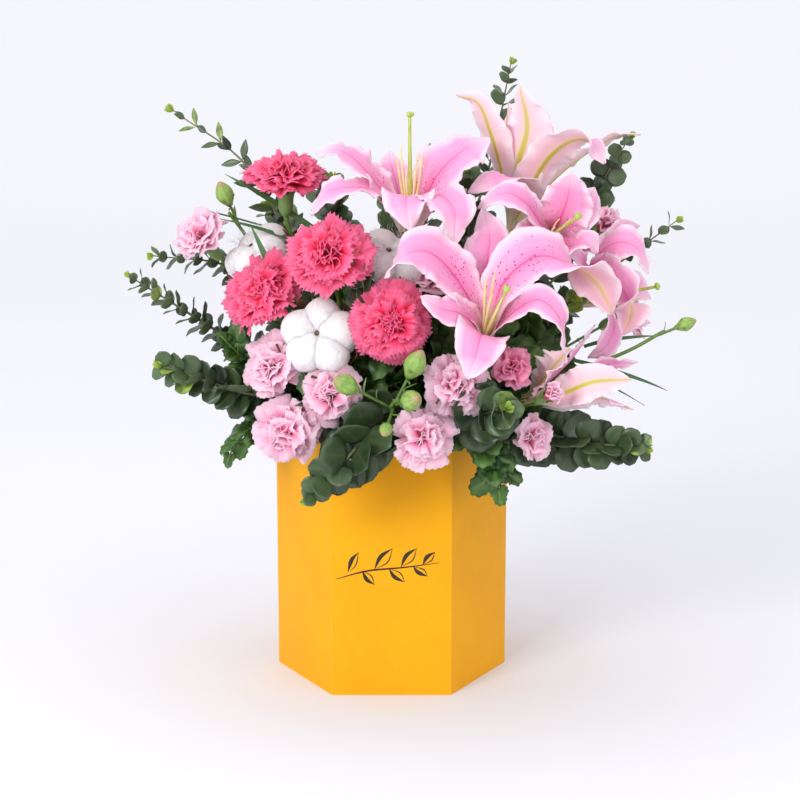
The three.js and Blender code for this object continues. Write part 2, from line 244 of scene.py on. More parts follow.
def keep(piece, body, replaces=()):
    """Hangs a piece on the empty of its body, and hides the CAD nodes it stands for."""
    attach(piece, body)
    if replaces:
        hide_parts(*replaces)


# ---- where the CAD pieces are -------------------------------------------------------------------
def corners_of(node):
    mesh = frame["nodes"][node].data
    points = np.zeros(len(mesh.vertices) * 3)
    mesh.vertices.foreach_get("co", points)
    return points.reshape(-1, 3) / MM


def ends_of(node):
    """Foot and far end of a stem, or of a bloom in one piece with its stem."""
    points = corners_of(node)
    far = np.linalg.norm(points - vec(0, 0, 200), axis=1)
    apex = points[far.argmax()]
    from_apex = np.linalg.norm(points - apex, axis=1)
    foot = points[from_apex > from_apex.max() - 1.5].mean(0)
    from_foot = np.linalg.norm(points - foot, axis=1)
    apex = points[from_foot > from_foot.max() - 0.4].mean(0)
    return foot, apex


BODY_OF = {node: body for body, nodes in frame["record"]["behaviour"]["bodies"].items() for node in nodes}


# ---- materials --------------------------------------------------------------------------------
def rgb(red, green, blue):
    linear = [(c / 255 / 12.92 if c <= 10 else ((c / 255 + 0.055) / 1.055) ** 2.4) for c in (red, green, blue)]
    return (*linear, 1.0)


class Finish:
    """A node material with the steps that several finishes share."""

    def __init__(self, name, roughness=0.5, **sockets):
        self.material = bpy.data.materials.new(name)
        self.material.use_nodes = True
        self.nodes = self.material.node_tree.nodes
        self.shader = self.nodes["Principled BSDF"]
        self.shader.inputs["Roughness"].default_value = roughness
        for socket, value in sockets.items():
            self.shader.inputs[socket.replace("_", " ")].default_value = value

    def link(self, source, target):
        self.material.node_tree.links.new(source, target)

    def place(self, kind="Object"):
        return self.add("TexCoord").outputs[kind]

    def feed(self, socket, value):
        """Sets a socket, or links an output to it."""
        if isinstance(value, (int, float, tuple)):
            socket.default_value = value
        else:
            self.link(value, socket)

    def add(self, kind, **inputs):
        node = self.nodes.new("ShaderNode" + kind)
        for socket, value in inputs.items():
            self.feed(node.inputs[socket], value)
        return node

    def scaled(self, source, scale):
        return self.add("Mapping", Vector=source, Scale=scale).outputs[0]

    def math(self, operation, *values):
        node = self.add("Math")
        node.operation = operation
        for socket, value in zip(node.inputs, values):
            self.feed(socket, value)
        return node.outputs[0]

    def times(self, a, b):
        return self.math("MULTIPLY", a, b)

    def plus(self, a, b):
        return self.math("ADD", a, b)

    def minus(self, a, b):
        return self.math("SUBTRACT", a, b)

    def split(self, source):
        return self.add("SeparateXYZ", Vector=source).outputs

    def across_and_along(self):
        """Places on a petal or leaf: across, along, and how far from its middle line."""
        across, along, _ = self.split(self.place("UV"))
        return across, along, self.times(self.math("ABSOLUTE", self.minus(across, 0.5)), 2.0)

    def veins(self, across, along, distortion):
        """Fine streaks that run the length of a petal."""
        return self.noise(self.scaled(self.place("UV"), (across, along, 1)), 1.0, 3, 0.5, distortion)

    def noise(self, source, scale, detail=4.0, roughness=0.6, distortion=0.0):
        settings = dict(Scale=scale, Detail=detail, Roughness=roughness, Distortion=distortion)
        return self.add("TexNoise", Vector=source, **settings).outputs[0]

    def cells(self, source, scale):
        return self.add("TexVoronoi", Vector=source, Scale=scale).outputs[0]

    def tone(self):
        node = self.add("Attribute")
        node.attribute_name = "tone"
        return node.outputs["Fac"]

    def ramp(self, source, *stops):
        """A colour ramp: stops are (place, colour or grey level)."""
        node = self.add("ValToRGB", Fac=source)
        elements = node.color_ramp.elements
        while len(elements) < len(stops):
            elements.new(0.5)
        for element, (place, colour) in zip(elements, stops):
            element.position = place
            element.color = colour if isinstance(colour, tuple) else (colour, colour, colour, 1)
        return node.outputs[0]

    def mix(self, share, a, b, blend="MIX"):
        node = self.add("Mix")
        node.data_type = "RGBA"
        node.blend_type = blend
        for index, value in ((0, share), (6, a), (7, b)):  # the factor and the two colours
            self.feed(node.inputs[index], value)
        return node.outputs[2]

    def colour(self, source):
        self.link(source, self.shader.inputs["Base Color"])
        return self

    def rough(self, source):
        self.link(source, self.shader.inputs["Roughness"])
        return self

    def bump(self, height, strength=0.3, distance=0.0005):
        node = self.add("Bump", Height=height, Strength=strength, Distance=distance)
        self.link(node.outputs[0], self.shader.inputs["Normal"])
        return self


def soft(finish, weight, scale, radius):
    """Light scatters a little way inside a petal or a leaf."""
    finish.shader.inputs["Subsurface Weight"].default_value = weight
    finish.shader.inputs["Subsurface Scale"].default_value = scale
    finish.shader.inputs["Subsurface Radius"].default_value = radius
    return finish


def paper_finish():
    f = Finish("yellow_paper", 0.62)
    f.shader.inputs["Specular IOR Level"].default_value = 0.22
    place = f.place()
    cloud = f.noise(place, 14, 5)
    fibre = f.noise(f.scaled(place, (1, 1, 0.35)), 900, 3)
    speck = f.ramp(f.cells(place, 520), (0.03, 1.0), (0.09, 0.0))
    base = f.ramp(cloud, (0.3, rgb(234, 160, 0)), (0.7, rgb(243, 172, 4)))
    base = f.mix(f.times(fibre, 0.1), base, rgb(250, 176, 40))
    base = f.mix(f.times(speck, 0.2), base, rgb(200, 112, 0))
    x, y, _ = f.split(place)
    turn = f.times(f.math("ARCTAN2", y, x), 3 / math.pi)  # one unit from fold to fold
    from_fold = f.math("ABSOLUTE", f.minus(turn, f.math("ROUND", turn)))
    fold = f.ramp(from_fold, (0.002, 1.0), (0.010, 0.0))
    # painted highlight: the paper is lightened toward a lit yellow in a line along each fold, broken up by noise
    fold_highlight = f.times(fold, f.ramp(f.noise(place, 70, 6), (0.45, 0.0), (0.7, 0.45)))
    f.colour(f.mix(fold_highlight, base, rgb(250, 186, 84)))
    f.rough(f.ramp(cloud, (0.3, 0.56), (0.7, 0.66)))
    return f.bump(f.plus(fibre, f.times(cloud, 0.6)), 0.12, 0.0002).material


def board_finish():
    f = Finish("grey_board", 0.9)
    place = f.place()
    fibre = f.noise(f.scaled(place, (1, 1, 3)), 500, 6)
    f.colour(f.ramp(fibre, (0.3, rgb(140, 132, 120)), (0.7, rgb(182, 174, 160))))
    return f.bump(fibre, 0.4, 0.0003).material


def liner_finish():
    f = Finish("liner_film", 0.28, Transmission_Weight=0.35, IOR=1.46)
    cloud = f.noise(f.place(), 30, 3)
    f.colour(f.ramp(cloud, (0.3, rgb(214, 224, 222)), (0.7, rgb(232, 238, 236))))
    f.rough(f.ramp(cloud, (0.3, 0.22), (0.7, 0.36)))
    return f.bump(cloud, 0.2, 0.0006).material


def foam_finish():
    f = Finish("floral_foam", 0.95)
    place = f.place()
    pore = f.cells(place, 700)
    cloud = f.noise(place, 45, 5)
    dark = f.ramp(cloud, (0.3, rgb(42, 74, 40)), (0.7, rgb(66, 104, 56)))
    # painted shade: the pores are painted darker than the foam around them
    f.colour(f.mix(f.ramp(pore, (0.1, 0.6), (0.5, 0.0)), dark, rgb(22, 44, 24)))
    return f.bump(pore, 0.7, 0.0008).material


def lily_face_finish(name, body, rib, margin, heart):
    f = Finish(name, 0.45, Sheen_Weight=0.05, Sheen_Roughness=0.4, Specular_IOR_Level=0.35)
    _, along, aside = f.across_and_along()
    veins = f.veins(60, 1.6, 0.15)
    patch = f.noise(f.place(), 45, 4)
    edge = f.ramp(f.plus(aside, f.times(patch, 0.2)), (0.7, 0.0), (1.14, 1.0))
    colour = f.mix(f.times(edge, 0.8), body, margin)
    streak = f.times(f.ramp(veins, (0.45, 0.0), (0.75, 0.4)), f.ramp(aside, (0.2, 1.0), (0.9, 0.1)))
    colour = f.mix(streak, colour, rib)
    blush = f.times(f.ramp(aside, (0.0, 0.7), (0.45, 0.0)), f.ramp(along, (0.2, 0.2), (0.5, 1.0), (0.9, 0.0)))
    colour = f.mix(blush, colour, rib)
    crease = f.times(f.ramp(aside, (0.02, 1.0), (0.06, 0.0)), f.ramp(along, (0.1, 0.2), (0.35, 1.0), (0.95, 0.1)))
    colour = f.mix(f.times(crease, 0.8), colour, rgb(214, 54, 126))
    colour = f.mix(f.ramp(along, (0.05, 1.0), (0.3, 0.0)), colour, heart)
    colour = f.mix(f.ramp(along, (0.82, 0.0), (1.0, 0.85)), colour, margin)
    spots = f.cells(f.scaled(f.place("UV"), (17, 46, 1)), 1.0)
    low_down = f.ramp(along, (0.2, 0.0), (0.28, 1.0), (0.5, 1.0), (0.66, 0.0))
    dots = f.times(f.ramp(spots, (0.17, 1.0), (0.25, 0.0)), low_down)
    dots = f.times(dots, f.ramp(aside, (0.6, 1.0), (0.85, 0.0)))
    f.colour(f.mix(f.times(dots, 0.9), colour, rgb(140, 14, 74)))
    ridges = f.plus(f.times(veins, 0.7), f.times(dots, 0.9))
    f.bump(ridges, 0.45, 0.0008)
    return soft(f, 0.2, 0.004, (1.0, 0.45, 0.55)).material


def lily_back_finish(name, body, rib, margin, wide=0.16):
    f = Finish(name, 0.5, Sheen_Weight=0.1)
    _, along, aside = f.across_and_along()
    veins = f.veins(40, 1.4, 0.1)
    colour = f.mix(f.ramp(aside, (0.5, 0.0), (1.0, 1.0)), body, margin)
    colour = f.mix(f.ramp(veins, (0.4, 0.0), (0.75, 0.35)), colour, margin)
    warm = f.ramp(aside, (0.1, 0.5), (0.5, 0.0))
    colour = f.mix(warm, colour, rgb(244, 196, 160))
    line = f.times(f.ramp(aside, (wide * 0.4, 1.0), (wide, 0.0)), f.ramp(along, (0.6, 1.0), (0.98, 0.6)))
    colour = f.mix(line, colour, rib)
    f.colour(f.mix(f.ramp(along, (0.05, 0.9), (0.4, 0.0)), colour, rgb(206, 208, 130)))
    f.bump(veins, 0.35, 0.0006)
    return soft(f, 0.2, 0.004, (1.0, 0.5, 0.5)).material


def ruffle_finish(name, deep, middle, margin):
    f = Finish(name, 0.6, Sheen_Weight=0.04, Sheen_Roughness=0.5, Specular_IOR_Level=0.25)
    _, along, _ = f.across_and_along()
    veins = f.veins(26, 1.2, 0.2)
    # the petal is palest at its margin, which is its own colour; the deep colour at its base is partly its own
    # colour and partly painted shade in the crevices of the head
    colour = f.ramp(f.plus(along, f.times(f.minus(veins, 0.5), 0.35)), (0.3, deep), (0.72, middle), (0.99, margin))
    shade = f.ramp(f.tone(), (0.0, 0.9), (0.5, 1.0), (1.0, 1.0))
    f.colour(f.mix(1.0, colour, shade, "MULTIPLY"))
    f.bump(veins, 0.3, 0.0004)
    return soft(f, 0.4, 0.007, (1.0, 0.5, 0.6)).material


def leaf_finish(name, dark, light, rib, roughness, vein_scale=9.0, gloss=0.4, veined=0.35, young=None):
    f = Finish(name, roughness, Coat_Weight=gloss * 0.3, Coat_Roughness=0.35)
    _, along, aside = f.across_and_along()
    patch = f.noise(f.place(), 70, 4)
    share = f.plus(f.times(f.tone(), 0.65), f.times(patch, 0.5))
    stops = [(0.25, dark), (0.9, light)] + ([(1.15 * 0.86, young)] if young else [])
    colour = f.ramp(share, *stops)
    bend = f.minus(along, f.times(aside, 0.32))
    slant = f.math("SINE", f.times(bend, vein_scale * 6.28))
    veins = f.times(f.ramp(slant, (0.9, 0.0), (1.0, veined)), f.ramp(aside, (0.7, 1.0), (1.0, 0.2)))
    line = f.ramp(aside, (0.02, veined * 1.8), (0.12, 0.0))
    f.colour(f.mix(f.math("MAXIMUM", veins, line), colour, rib))
    height = f.plus(f.times(slant, 0.12), f.plus(f.times(line, -1.0), patch))
    return f.bump(height, 0.3, 0.0005).material


def stem_finish(name, low, high, roughness=0.5):
    f = Finish(name, roughness)
    place = f.place()
    streak = f.noise(f.scaled(place, (1, 1, 0.2)), 300, 4)
    f.colour(f.ramp(f.plus(f.times(streak, 0.7), f.times(f.tone(), 0.4)), (0.3, low), (0.8, high)))
    return f.bump(streak, 0.25, 0.0004).material


def cotton_finish():
    f = Finish("cotton", 0.95, Sheen_Weight=0.6, Sheen_Roughness=0.6)
    place = f.place()
    wisp = f.noise(place, 240, 6, 0.7, 1.2)
    f.colour(f.ramp(wisp, (0.25, rgb(238, 236, 238)), (0.7, rgb(255, 254, 253))))
    f.bump(wisp, 0.75, 0.0026)
    return soft(f, 0.5, 0.006, (1.0, 0.95, 0.9)).material


def bud_finish():
    f = Finish("bud", 0.45)
    across, along, _ = f.across_and_along()
    ribs = f.math("SINE", f.times(across, 62.8))
    cloud = f.noise(f.place(), 160, 3)
    green = f.ramp(cloud, (0.3, rgb(112, 152, 66)), (0.7, rgb(158, 190, 96)))
    green = f.mix(f.times(f.ramp(ribs, (0.2, 0.0), (1.0, 1.0)), 0.25), green, rgb(80, 120, 48))
    f.colour(f.mix(f.ramp(along, (0.78, 0.0), (0.97, 0.5)), green, rgb(196, 120, 120)))
    return f.bump(ribs, 0.25, 0.0004).material


def ink_finish():
    f = Finish("ink", 0.6)
    cloud = f.noise(f.place(), 600, 4)
    f.colour(f.ramp(cloud, (0.3, rgb(30, 22, 10)), (0.75, rgb(52, 38, 16))))
    return f.bump(cloud, 0.2, 0.0001).material


PAPER = paper_finish()
BOARD = board_finish()
LINER = liner_finish()
FOAM = foam_finish()
INK = ink_finish()
LILY_FACE = lily_face_finish(
    "lily_face", rgb(244, 162, 204), rgb(238, 104, 168), rgb(252, 222, 234), rgb(246, 226, 206),
)
LILY_BACK = lily_back_finish("lily_back", rgb(232, 164, 186), rgb(206, 190, 110), rgb(250, 220, 226), 0.1)
CROWN_BACK = lily_back_finish("lily_back_pale", rgb(250, 206, 218), rgb(190, 190, 60), rgb(255, 234, 238), 0.14)
# the first colour of each is the petal base: partly the flower's own deep colour, partly painted shade in the
# crevices
HOT = ruffle_finish("carnation_petal", rgb(255, 0, 62), rgb(255, 28, 84), rgb(255, 104, 146))
SOFT_PINK = ruffle_finish("spray_petal", rgb(255, 116, 152), rgb(255, 160, 196), rgb(255, 204, 224))
ROSE = ruffle_finish("rose_petal", rgb(244, 60, 110), rgb(252, 108, 154), rgb(255, 156, 190))
CALYX = leaf_finish("calyx", rgb(84, 122, 60), rgb(132, 164, 92), rgb(104, 140, 74), 0.5, 3.0)
EUCALYPTUS = leaf_finish(
    "eucalyptus_leaf", rgb(32, 50, 26), rgb(82, 106, 66), rgb(108, 130, 88), 0.4, 4.0, 0.5, 0.09, rgb(146, 176, 52),
)
EUCALYPTUS_UNDER = leaf_finish(
    "eucalyptus_under", rgb(58, 78, 50), rgb(104, 124, 90), rgb(126, 144, 104), 0.6, 4.0, 0.0, 0.2,
    rgb(158, 182, 76),
)
GREEN = leaf_finish(
    "green_leaf", rgb(10, 30, 4), rgb(38, 88, 10), rgb(78, 124, 40), 0.3, 5.0, 0.6, 0.25, rgb(88, 150, 22),
)
GREEN_UNDER = leaf_finish("green_under", rgb(34, 66, 20), rgb(70, 112, 40), rgb(96, 134, 60), 0.5, 6.0, 0.1)
STRAP = leaf_finish("strap_leaf", rgb(40, 84, 44), rgb(84, 130, 76), rgb(110, 150, 96), 0.5, 0.2, 0.2)
STEM = stem_finish("fresh_stem", rgb(62, 96, 36), rgb(116, 150, 66))
TWIG = stem_finish("eucalyptus_twig", rgb(84, 84, 58), rgb(132, 134, 92), 0.6)
WOOD = stem_finish("cotton_wood", rgb(70, 44, 26), rgb(122, 84, 52), 0.75)
PISTIL = stem_finish("pistil", rgb(150, 178, 62), rgb(214, 224, 128), 0.4)
FILAMENT = stem_finish("filament", rgb(232, 226, 130), rgb(250, 246, 196), 0.45)
COTTON = cotton_finish()
BUD = bud_finish()
SPRIG_LOOK = [EUCALYPTUS, EUCALYPTUS_UNDER, TWIG]
LEAFY_LOOK = [GREEN, GREEN_UNDER, STEM]


# ---- the box ------------------------------------------------------------------------------------
def nothing_selected():
    bpy.ops.object.select_all(action="DESELECT")


def edit(piece):
    nothing_selected()
    bpy.context.view_layer.objects.active = piece
    piece.select_set(True)
    bpy.ops.object.mode_set(mode="EDIT")
    bpy.ops.mesh.select_all(action="DESELECT")


def leave_edit():
    bpy.ops.object.mode_set(mode="OBJECT")


def apply_modifier(piece, kind, **settings):
    bpy.context.view_layer.objects.active = piece
    modifier = piece.modifiers.new(kind.title(), kind)
    for key, value in settings.items():
        setattr(modifier, key, value)
    bpy.ops.object.modifier_apply(modifier=modifier.name)


def settle(piece):
    """Puts the piece's place into its mesh."""
    nothing_selected()
    bpy.context.view_layer.objects.active = piece
    piece.select_set(True)
    bpy.ops.object.transform_apply(location=True, rotation=True, scale=True)


PAPER_THICKNESS, FOLD_RADIUS, TURN_IN = 0.0005, 0.0009, 0.018
PAPER_GAP = 0.0031  # from the outside of the board to the middle of the turned-in paper
RIM = 1e-5  # how near to the rim's height counts as being on it


def make_cover():
    """The covering paper: six sides, folded over the rim and down the inside."""
    low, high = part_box("cover_paper")
    radius, height = high.x, high.z - low.z
    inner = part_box("wall_board")[1].x - PAPER_GAP
    nothing_selected()
    bpy.ops.mesh.primitive_cylinder_add(
        vertices=6, radius=radius, depth=height, end_fill_type="NOTHING",
        location=(0, 0, low.z + height / 2), rotation=(0, 0, math.radians(30)),
    )
    cover = bpy.context.object
    cover.name = "cover"
    settle(cover)
    edit(cover)
    bpy.ops.mesh.select_mode(type="EDGE")
    leave_edit()
    for edge in cover.data.edges:
        edge.select = all(cover.data.vertices[v].co.z > high.z - RIM for v in edge.vertices)
    bpy.ops.object.mode_set(mode="EDIT")
    bpy.ops.mesh.extrude_edges_move()
    bpy.ops.transform.resize(value=(inner / radius, inner / radius, 1), center_override=(0, 0, high.z))
    bpy.ops.mesh.extrude_edges_move(TRANSFORM_OT_translate={"value": (0, 0, -TURN_IN)})
    bpy.ops.mesh.select_all(action="DESELECT")
    leave_edit()
    for edge in cover.data.edges:
        a, b = (cover.data.vertices[v].co for v in edge.vertices)
        upright = abs(a.z - b.z) > 0.01
        on_rim = min(a.z, b.z) > high.z - RIM and abs(a.xy.length - b.xy.length) < 1e-5
        edge.select = upright or on_rim
    bpy.ops.object.mode_set(mode="EDIT")
    bpy.ops.mesh.bevel(offset=FOLD_RADIUS, segments=3, profile=0.5)
    bpy.ops.mesh.select_all(action="SELECT")
    bpy.ops.mesh.normals_make_consistent(inside=False)
    leave_edit()
    apply_modifier(cover, "SOLIDIFY", thickness=PAPER_THICKNESS, offset=-1)
    nothing_selected()
    cover.select_set(True)
    bpy.ops.object.shade_smooth_by_angle(angle=math.radians(35))
    cover.data.materials.append(PAPER)
    keep(cover, "box", ["cover_paper"])


def make_seam():
    """The lap of the covering paper, down the back beside a corner."""
    low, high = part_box("cover_paper")
    nothing_selected()
    bpy.ops.mesh.primitive_cube_add(size=1, location=(-0.040, high.y + 0.0001, (low.z + high.z) / 2))
    seam = bpy.context.object
    seam.name = "cover_lap"
    seam.scale = (0.016, 0.00022, high.z - low.z - 0.001)
    settle(seam)
    apply_modifier(seam, "BEVEL", width=0.0001, segments=2)
    seam.data.materials.append(PAPER)
    keep(seam, "box")


def brush_stroke(points, widths, depth):
    """A flat tapering stroke on the front of the box."""
    path = smooth_path([(x, 0, z) for x, z in points], 28)
    along = headings(path)
    across = np.cross(along, vec(0, -1, 0))
    width = curve_through([(i / (len(widths) - 1), w) for i, w in enumerate(widths)], np.linspace(0, 1, 28))
    steps = np.linspace(-0.5, 0.5, 4)
    grid = spread(path, (across, np.outer(np.maximum(width, 0.12), steps)))
    grid[..., 1] = depth
    return shell(grid, 0.08, under=0)


def make_print():
    """A plain sprig of leaves in brush strokes, on the front."""
    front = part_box("cover_paper")[0].y / MM - 0.07
    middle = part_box("cover_paper")[1].z / MM * 0.53
    twig = [(-46, middle - 13), (-20, middle - 6), (10, middle - 3), (40, middle + 1)]
    strokes = [brush_stroke(twig, [0.5, 1.5, 1.2, 0.3], front)]
    leaves = [
        (-36, 1, 9, 17), (-24, -1, 10, -12), (-14, 1, 15, 18), (-2, -1, 13, -12), (8, 1, 13, 16), (18, -1, 12, -9),
        (26, 1, 10, 11),
    ]
    for start, way, across, rise in leaves:
        root = middle - 8 + (start + 46) * 0.1
        tip = (start + across, root + rise)
        belly = (start + across * 0.35, root + rise * 0.62)
        strokes.append(brush_stroke([(start, root), belly, tip], [0.4, 3.4, 0.25], front))
        vein = [(start + 2, root + way), (start + across * 0.75, root + rise * 0.38), tip]
        strokes.append(brush_stroke(vein, [0.3, 1.0, 0.2], front))
    make_piece("sprig_print", strokes, [INK], "box")


def finish_cad_nodes():
    """The pieces whose plain shape is right keep it, and take a finish."""
    finishes = {
        "wall_board": BOARD,
        "base_board": BOARD,
        "base_sheet": PAPER,
        "liner": LINER,
        "foam_lower": FOAM,
        "foam_upper": FOAM,
    }
    for node, material in finishes.items():
        for slot in frame["nodes"][node].material_slots:
            slot.link = "OBJECT"
            slot.material = material


# ---- lilies -------------------------------------------------------------------------------------
NECK = 6  # the foot of the trumpet is rounded by this much
# (share of a petal's length, share of its greatest width)
WIDTH_ALONG = [
    (0, 0.2), (0.15, 0.3), (0.3, 0.58), (0.48, 0.92), (0.62, 1.0), (0.78, 0.84), (0.9, 0.5), (0.97, 0.2), (1, 0.03),
]


def tepal(base, facing, stops, width=42, rise=26, twist=0.0, cup=(0.55, -0.12), ruffle=2.4, flip=False, seed=0):
    """One petal of a lily: up the trumpet from the foot of the bloom, then through the stops to its tip."""
    rng = np.random.default_rng(seed)
    rows, cols, waves = 72, 25, 4.5
    stops = [base + vec(*stop) for stop in stops]
    out = stops[-1] - base
    out = unit(out - facing * (out @ facing))
    lean = stops[0] - base
    lean = unit(lean - facing * (lean @ facing))
    s, u = np.linspace(0, 1, rows), np.linspace(-1, 1, cols)
    line = smooth_path([base + lean * 2.6, base + lean * 5 + facing * rise, *stops], rows)
    along = headings(line)
    side = np.cross(facing, unit(out + lean))[None, :].repeat(rows, 0)
    side = side - along * np.sum(side * along, 1, keepdims=True)
    side /= np.linalg.norm(side, axis=1, keepdims=True)
    up = np.cross(along, side)
    turn = (twist * s**2)[:, None]
    side, up = side * np.cos(turn) + up * np.sin(turn), up * np.cos(turn) - side * np.sin(turn)
    half = (width / 2 * curve_through(WIDTH_ALONG, s))[:, None]
    s, u, sign, far = s[:, None], u[None, :], np.sign(u)[None, :], np.abs(u)[None, :]
    reach = u * half * (1 + 0.05 * np.sin(s * 23 + sign * 1.3 + rng.uniform(0, 6)) * far)
    hollow = (cup[0] * (1 - s) + cup[1] * s) * half * u**2
    wave = np.sin(2 * np.pi * waves * s + rng.uniform(0, 6) + sign * 1.1)
    wave += 0.45 * np.sin(2 * np.pi * waves * 2.3 * s + rng.uniform(0, 6) + sign * 2.0)
    edge = far**3 * np.clip(s * 2.2 - 0.35, 0, 1) * np.clip((1.04 - s) * 5, 0, 1) ** 0.7
    fine = np.sin(2 * np.pi * waves * 4.1 * s + sign * 1.7 + rng.uniform(0, 6)) * far**6
    frill = (ruffle * wave + 0.35 * ruffle * fine) * edge
    keel = -1.5 * np.exp(-((u / 0.09) ** 2)) * (1 - s * 0.6)
    grid = spread(line, (side, reach), (up, hollow + frill + keel))
    return shell(grid, PETAL_THICKNESS, rng.uniform(0, 1), int(flip), int(not flip))


def make_heart(name, base, facing, pistil, filaments, body):
    """Pistil with its knob, and the filaments that carried the anthers."""
    parts = []
    steps = np.linspace(0, 1, 14)
    style = bezier(base + facing * 4, base + facing * 45, pistil - facing * 12, pistil, steps)
    parts.append(tube(style, curve_through([(0, 2.9), (0.4, 2.3), (0.6, 1.6), (1, 1.3)], steps), 10))
    lobes = lambda a, h: 1 + 0.14 * np.cos(3 * a)
    parts.append(ball(pistil + facing * 1.2, (3.2, 2.3), unit(pistil - style[-3]), lobes, 8, 15, 0.2))
    for k, end in enumerate(filaments):
        start = base + facing * 6 + unit(end - pistil) * 2.0
        line = bezier(start, start + facing * 34, end - facing * 12 + unit(end - pistil) * 3, end, steps)
        parts.append(
            tube(line, curve_through([(0, 1.3), (0.7, 0.9), (1, 0.35)], steps), 6, material=1, tone=0.3 + 0.1 * k)
        )
    make_piece(name + "_heart", parts, [PISTIL, FILAMENT], body)


def make_lily(name, facing, petals, pistil=None, filaments=(), back=LILY_BACK):
    """A lily: petals are (stops as offsets from the foot of the bloom, settings)."""
    bloom, stem = name + "_bloom", name + "_stem"
    body = BODY_OF[bloom]
    facing = unit(vec(*facing))
    foot, end = ends_of(stem)
    points = corners_of(bloom)
    middle = points.mean(0)
    base = middle + facing * (points @ facing - middle @ facing).min() + facing * NECK
    parts = [
        tepal(base, facing, stops, seed=sum(map(ord, name)) + 7 * k, **settings)
        for k, (stops, settings) in enumerate(petals)
    ]
    make_piece(name + "_petals", parts, [LILY_FACE, back], body, [bloom])
    if pistil is not None:
        make_heart(name, base, facing, base + vec(*pistil), [base + vec(*f) for f in filaments], body)
    along = unit(end - foot)
    steps = np.linspace(0, 1, 20)
    neck = stalk_line(foot, end, base - facing * 10 - along * 2, base + facing * 2, steps)
    radii = curve_through([(0, 3.4), (0.8, 3.5), (0.93, 3.8), (1, 5.2)], steps)
    make_piece(name + "_stalk", [tube(neck, radii, 12)], [STEM], body, [stem])


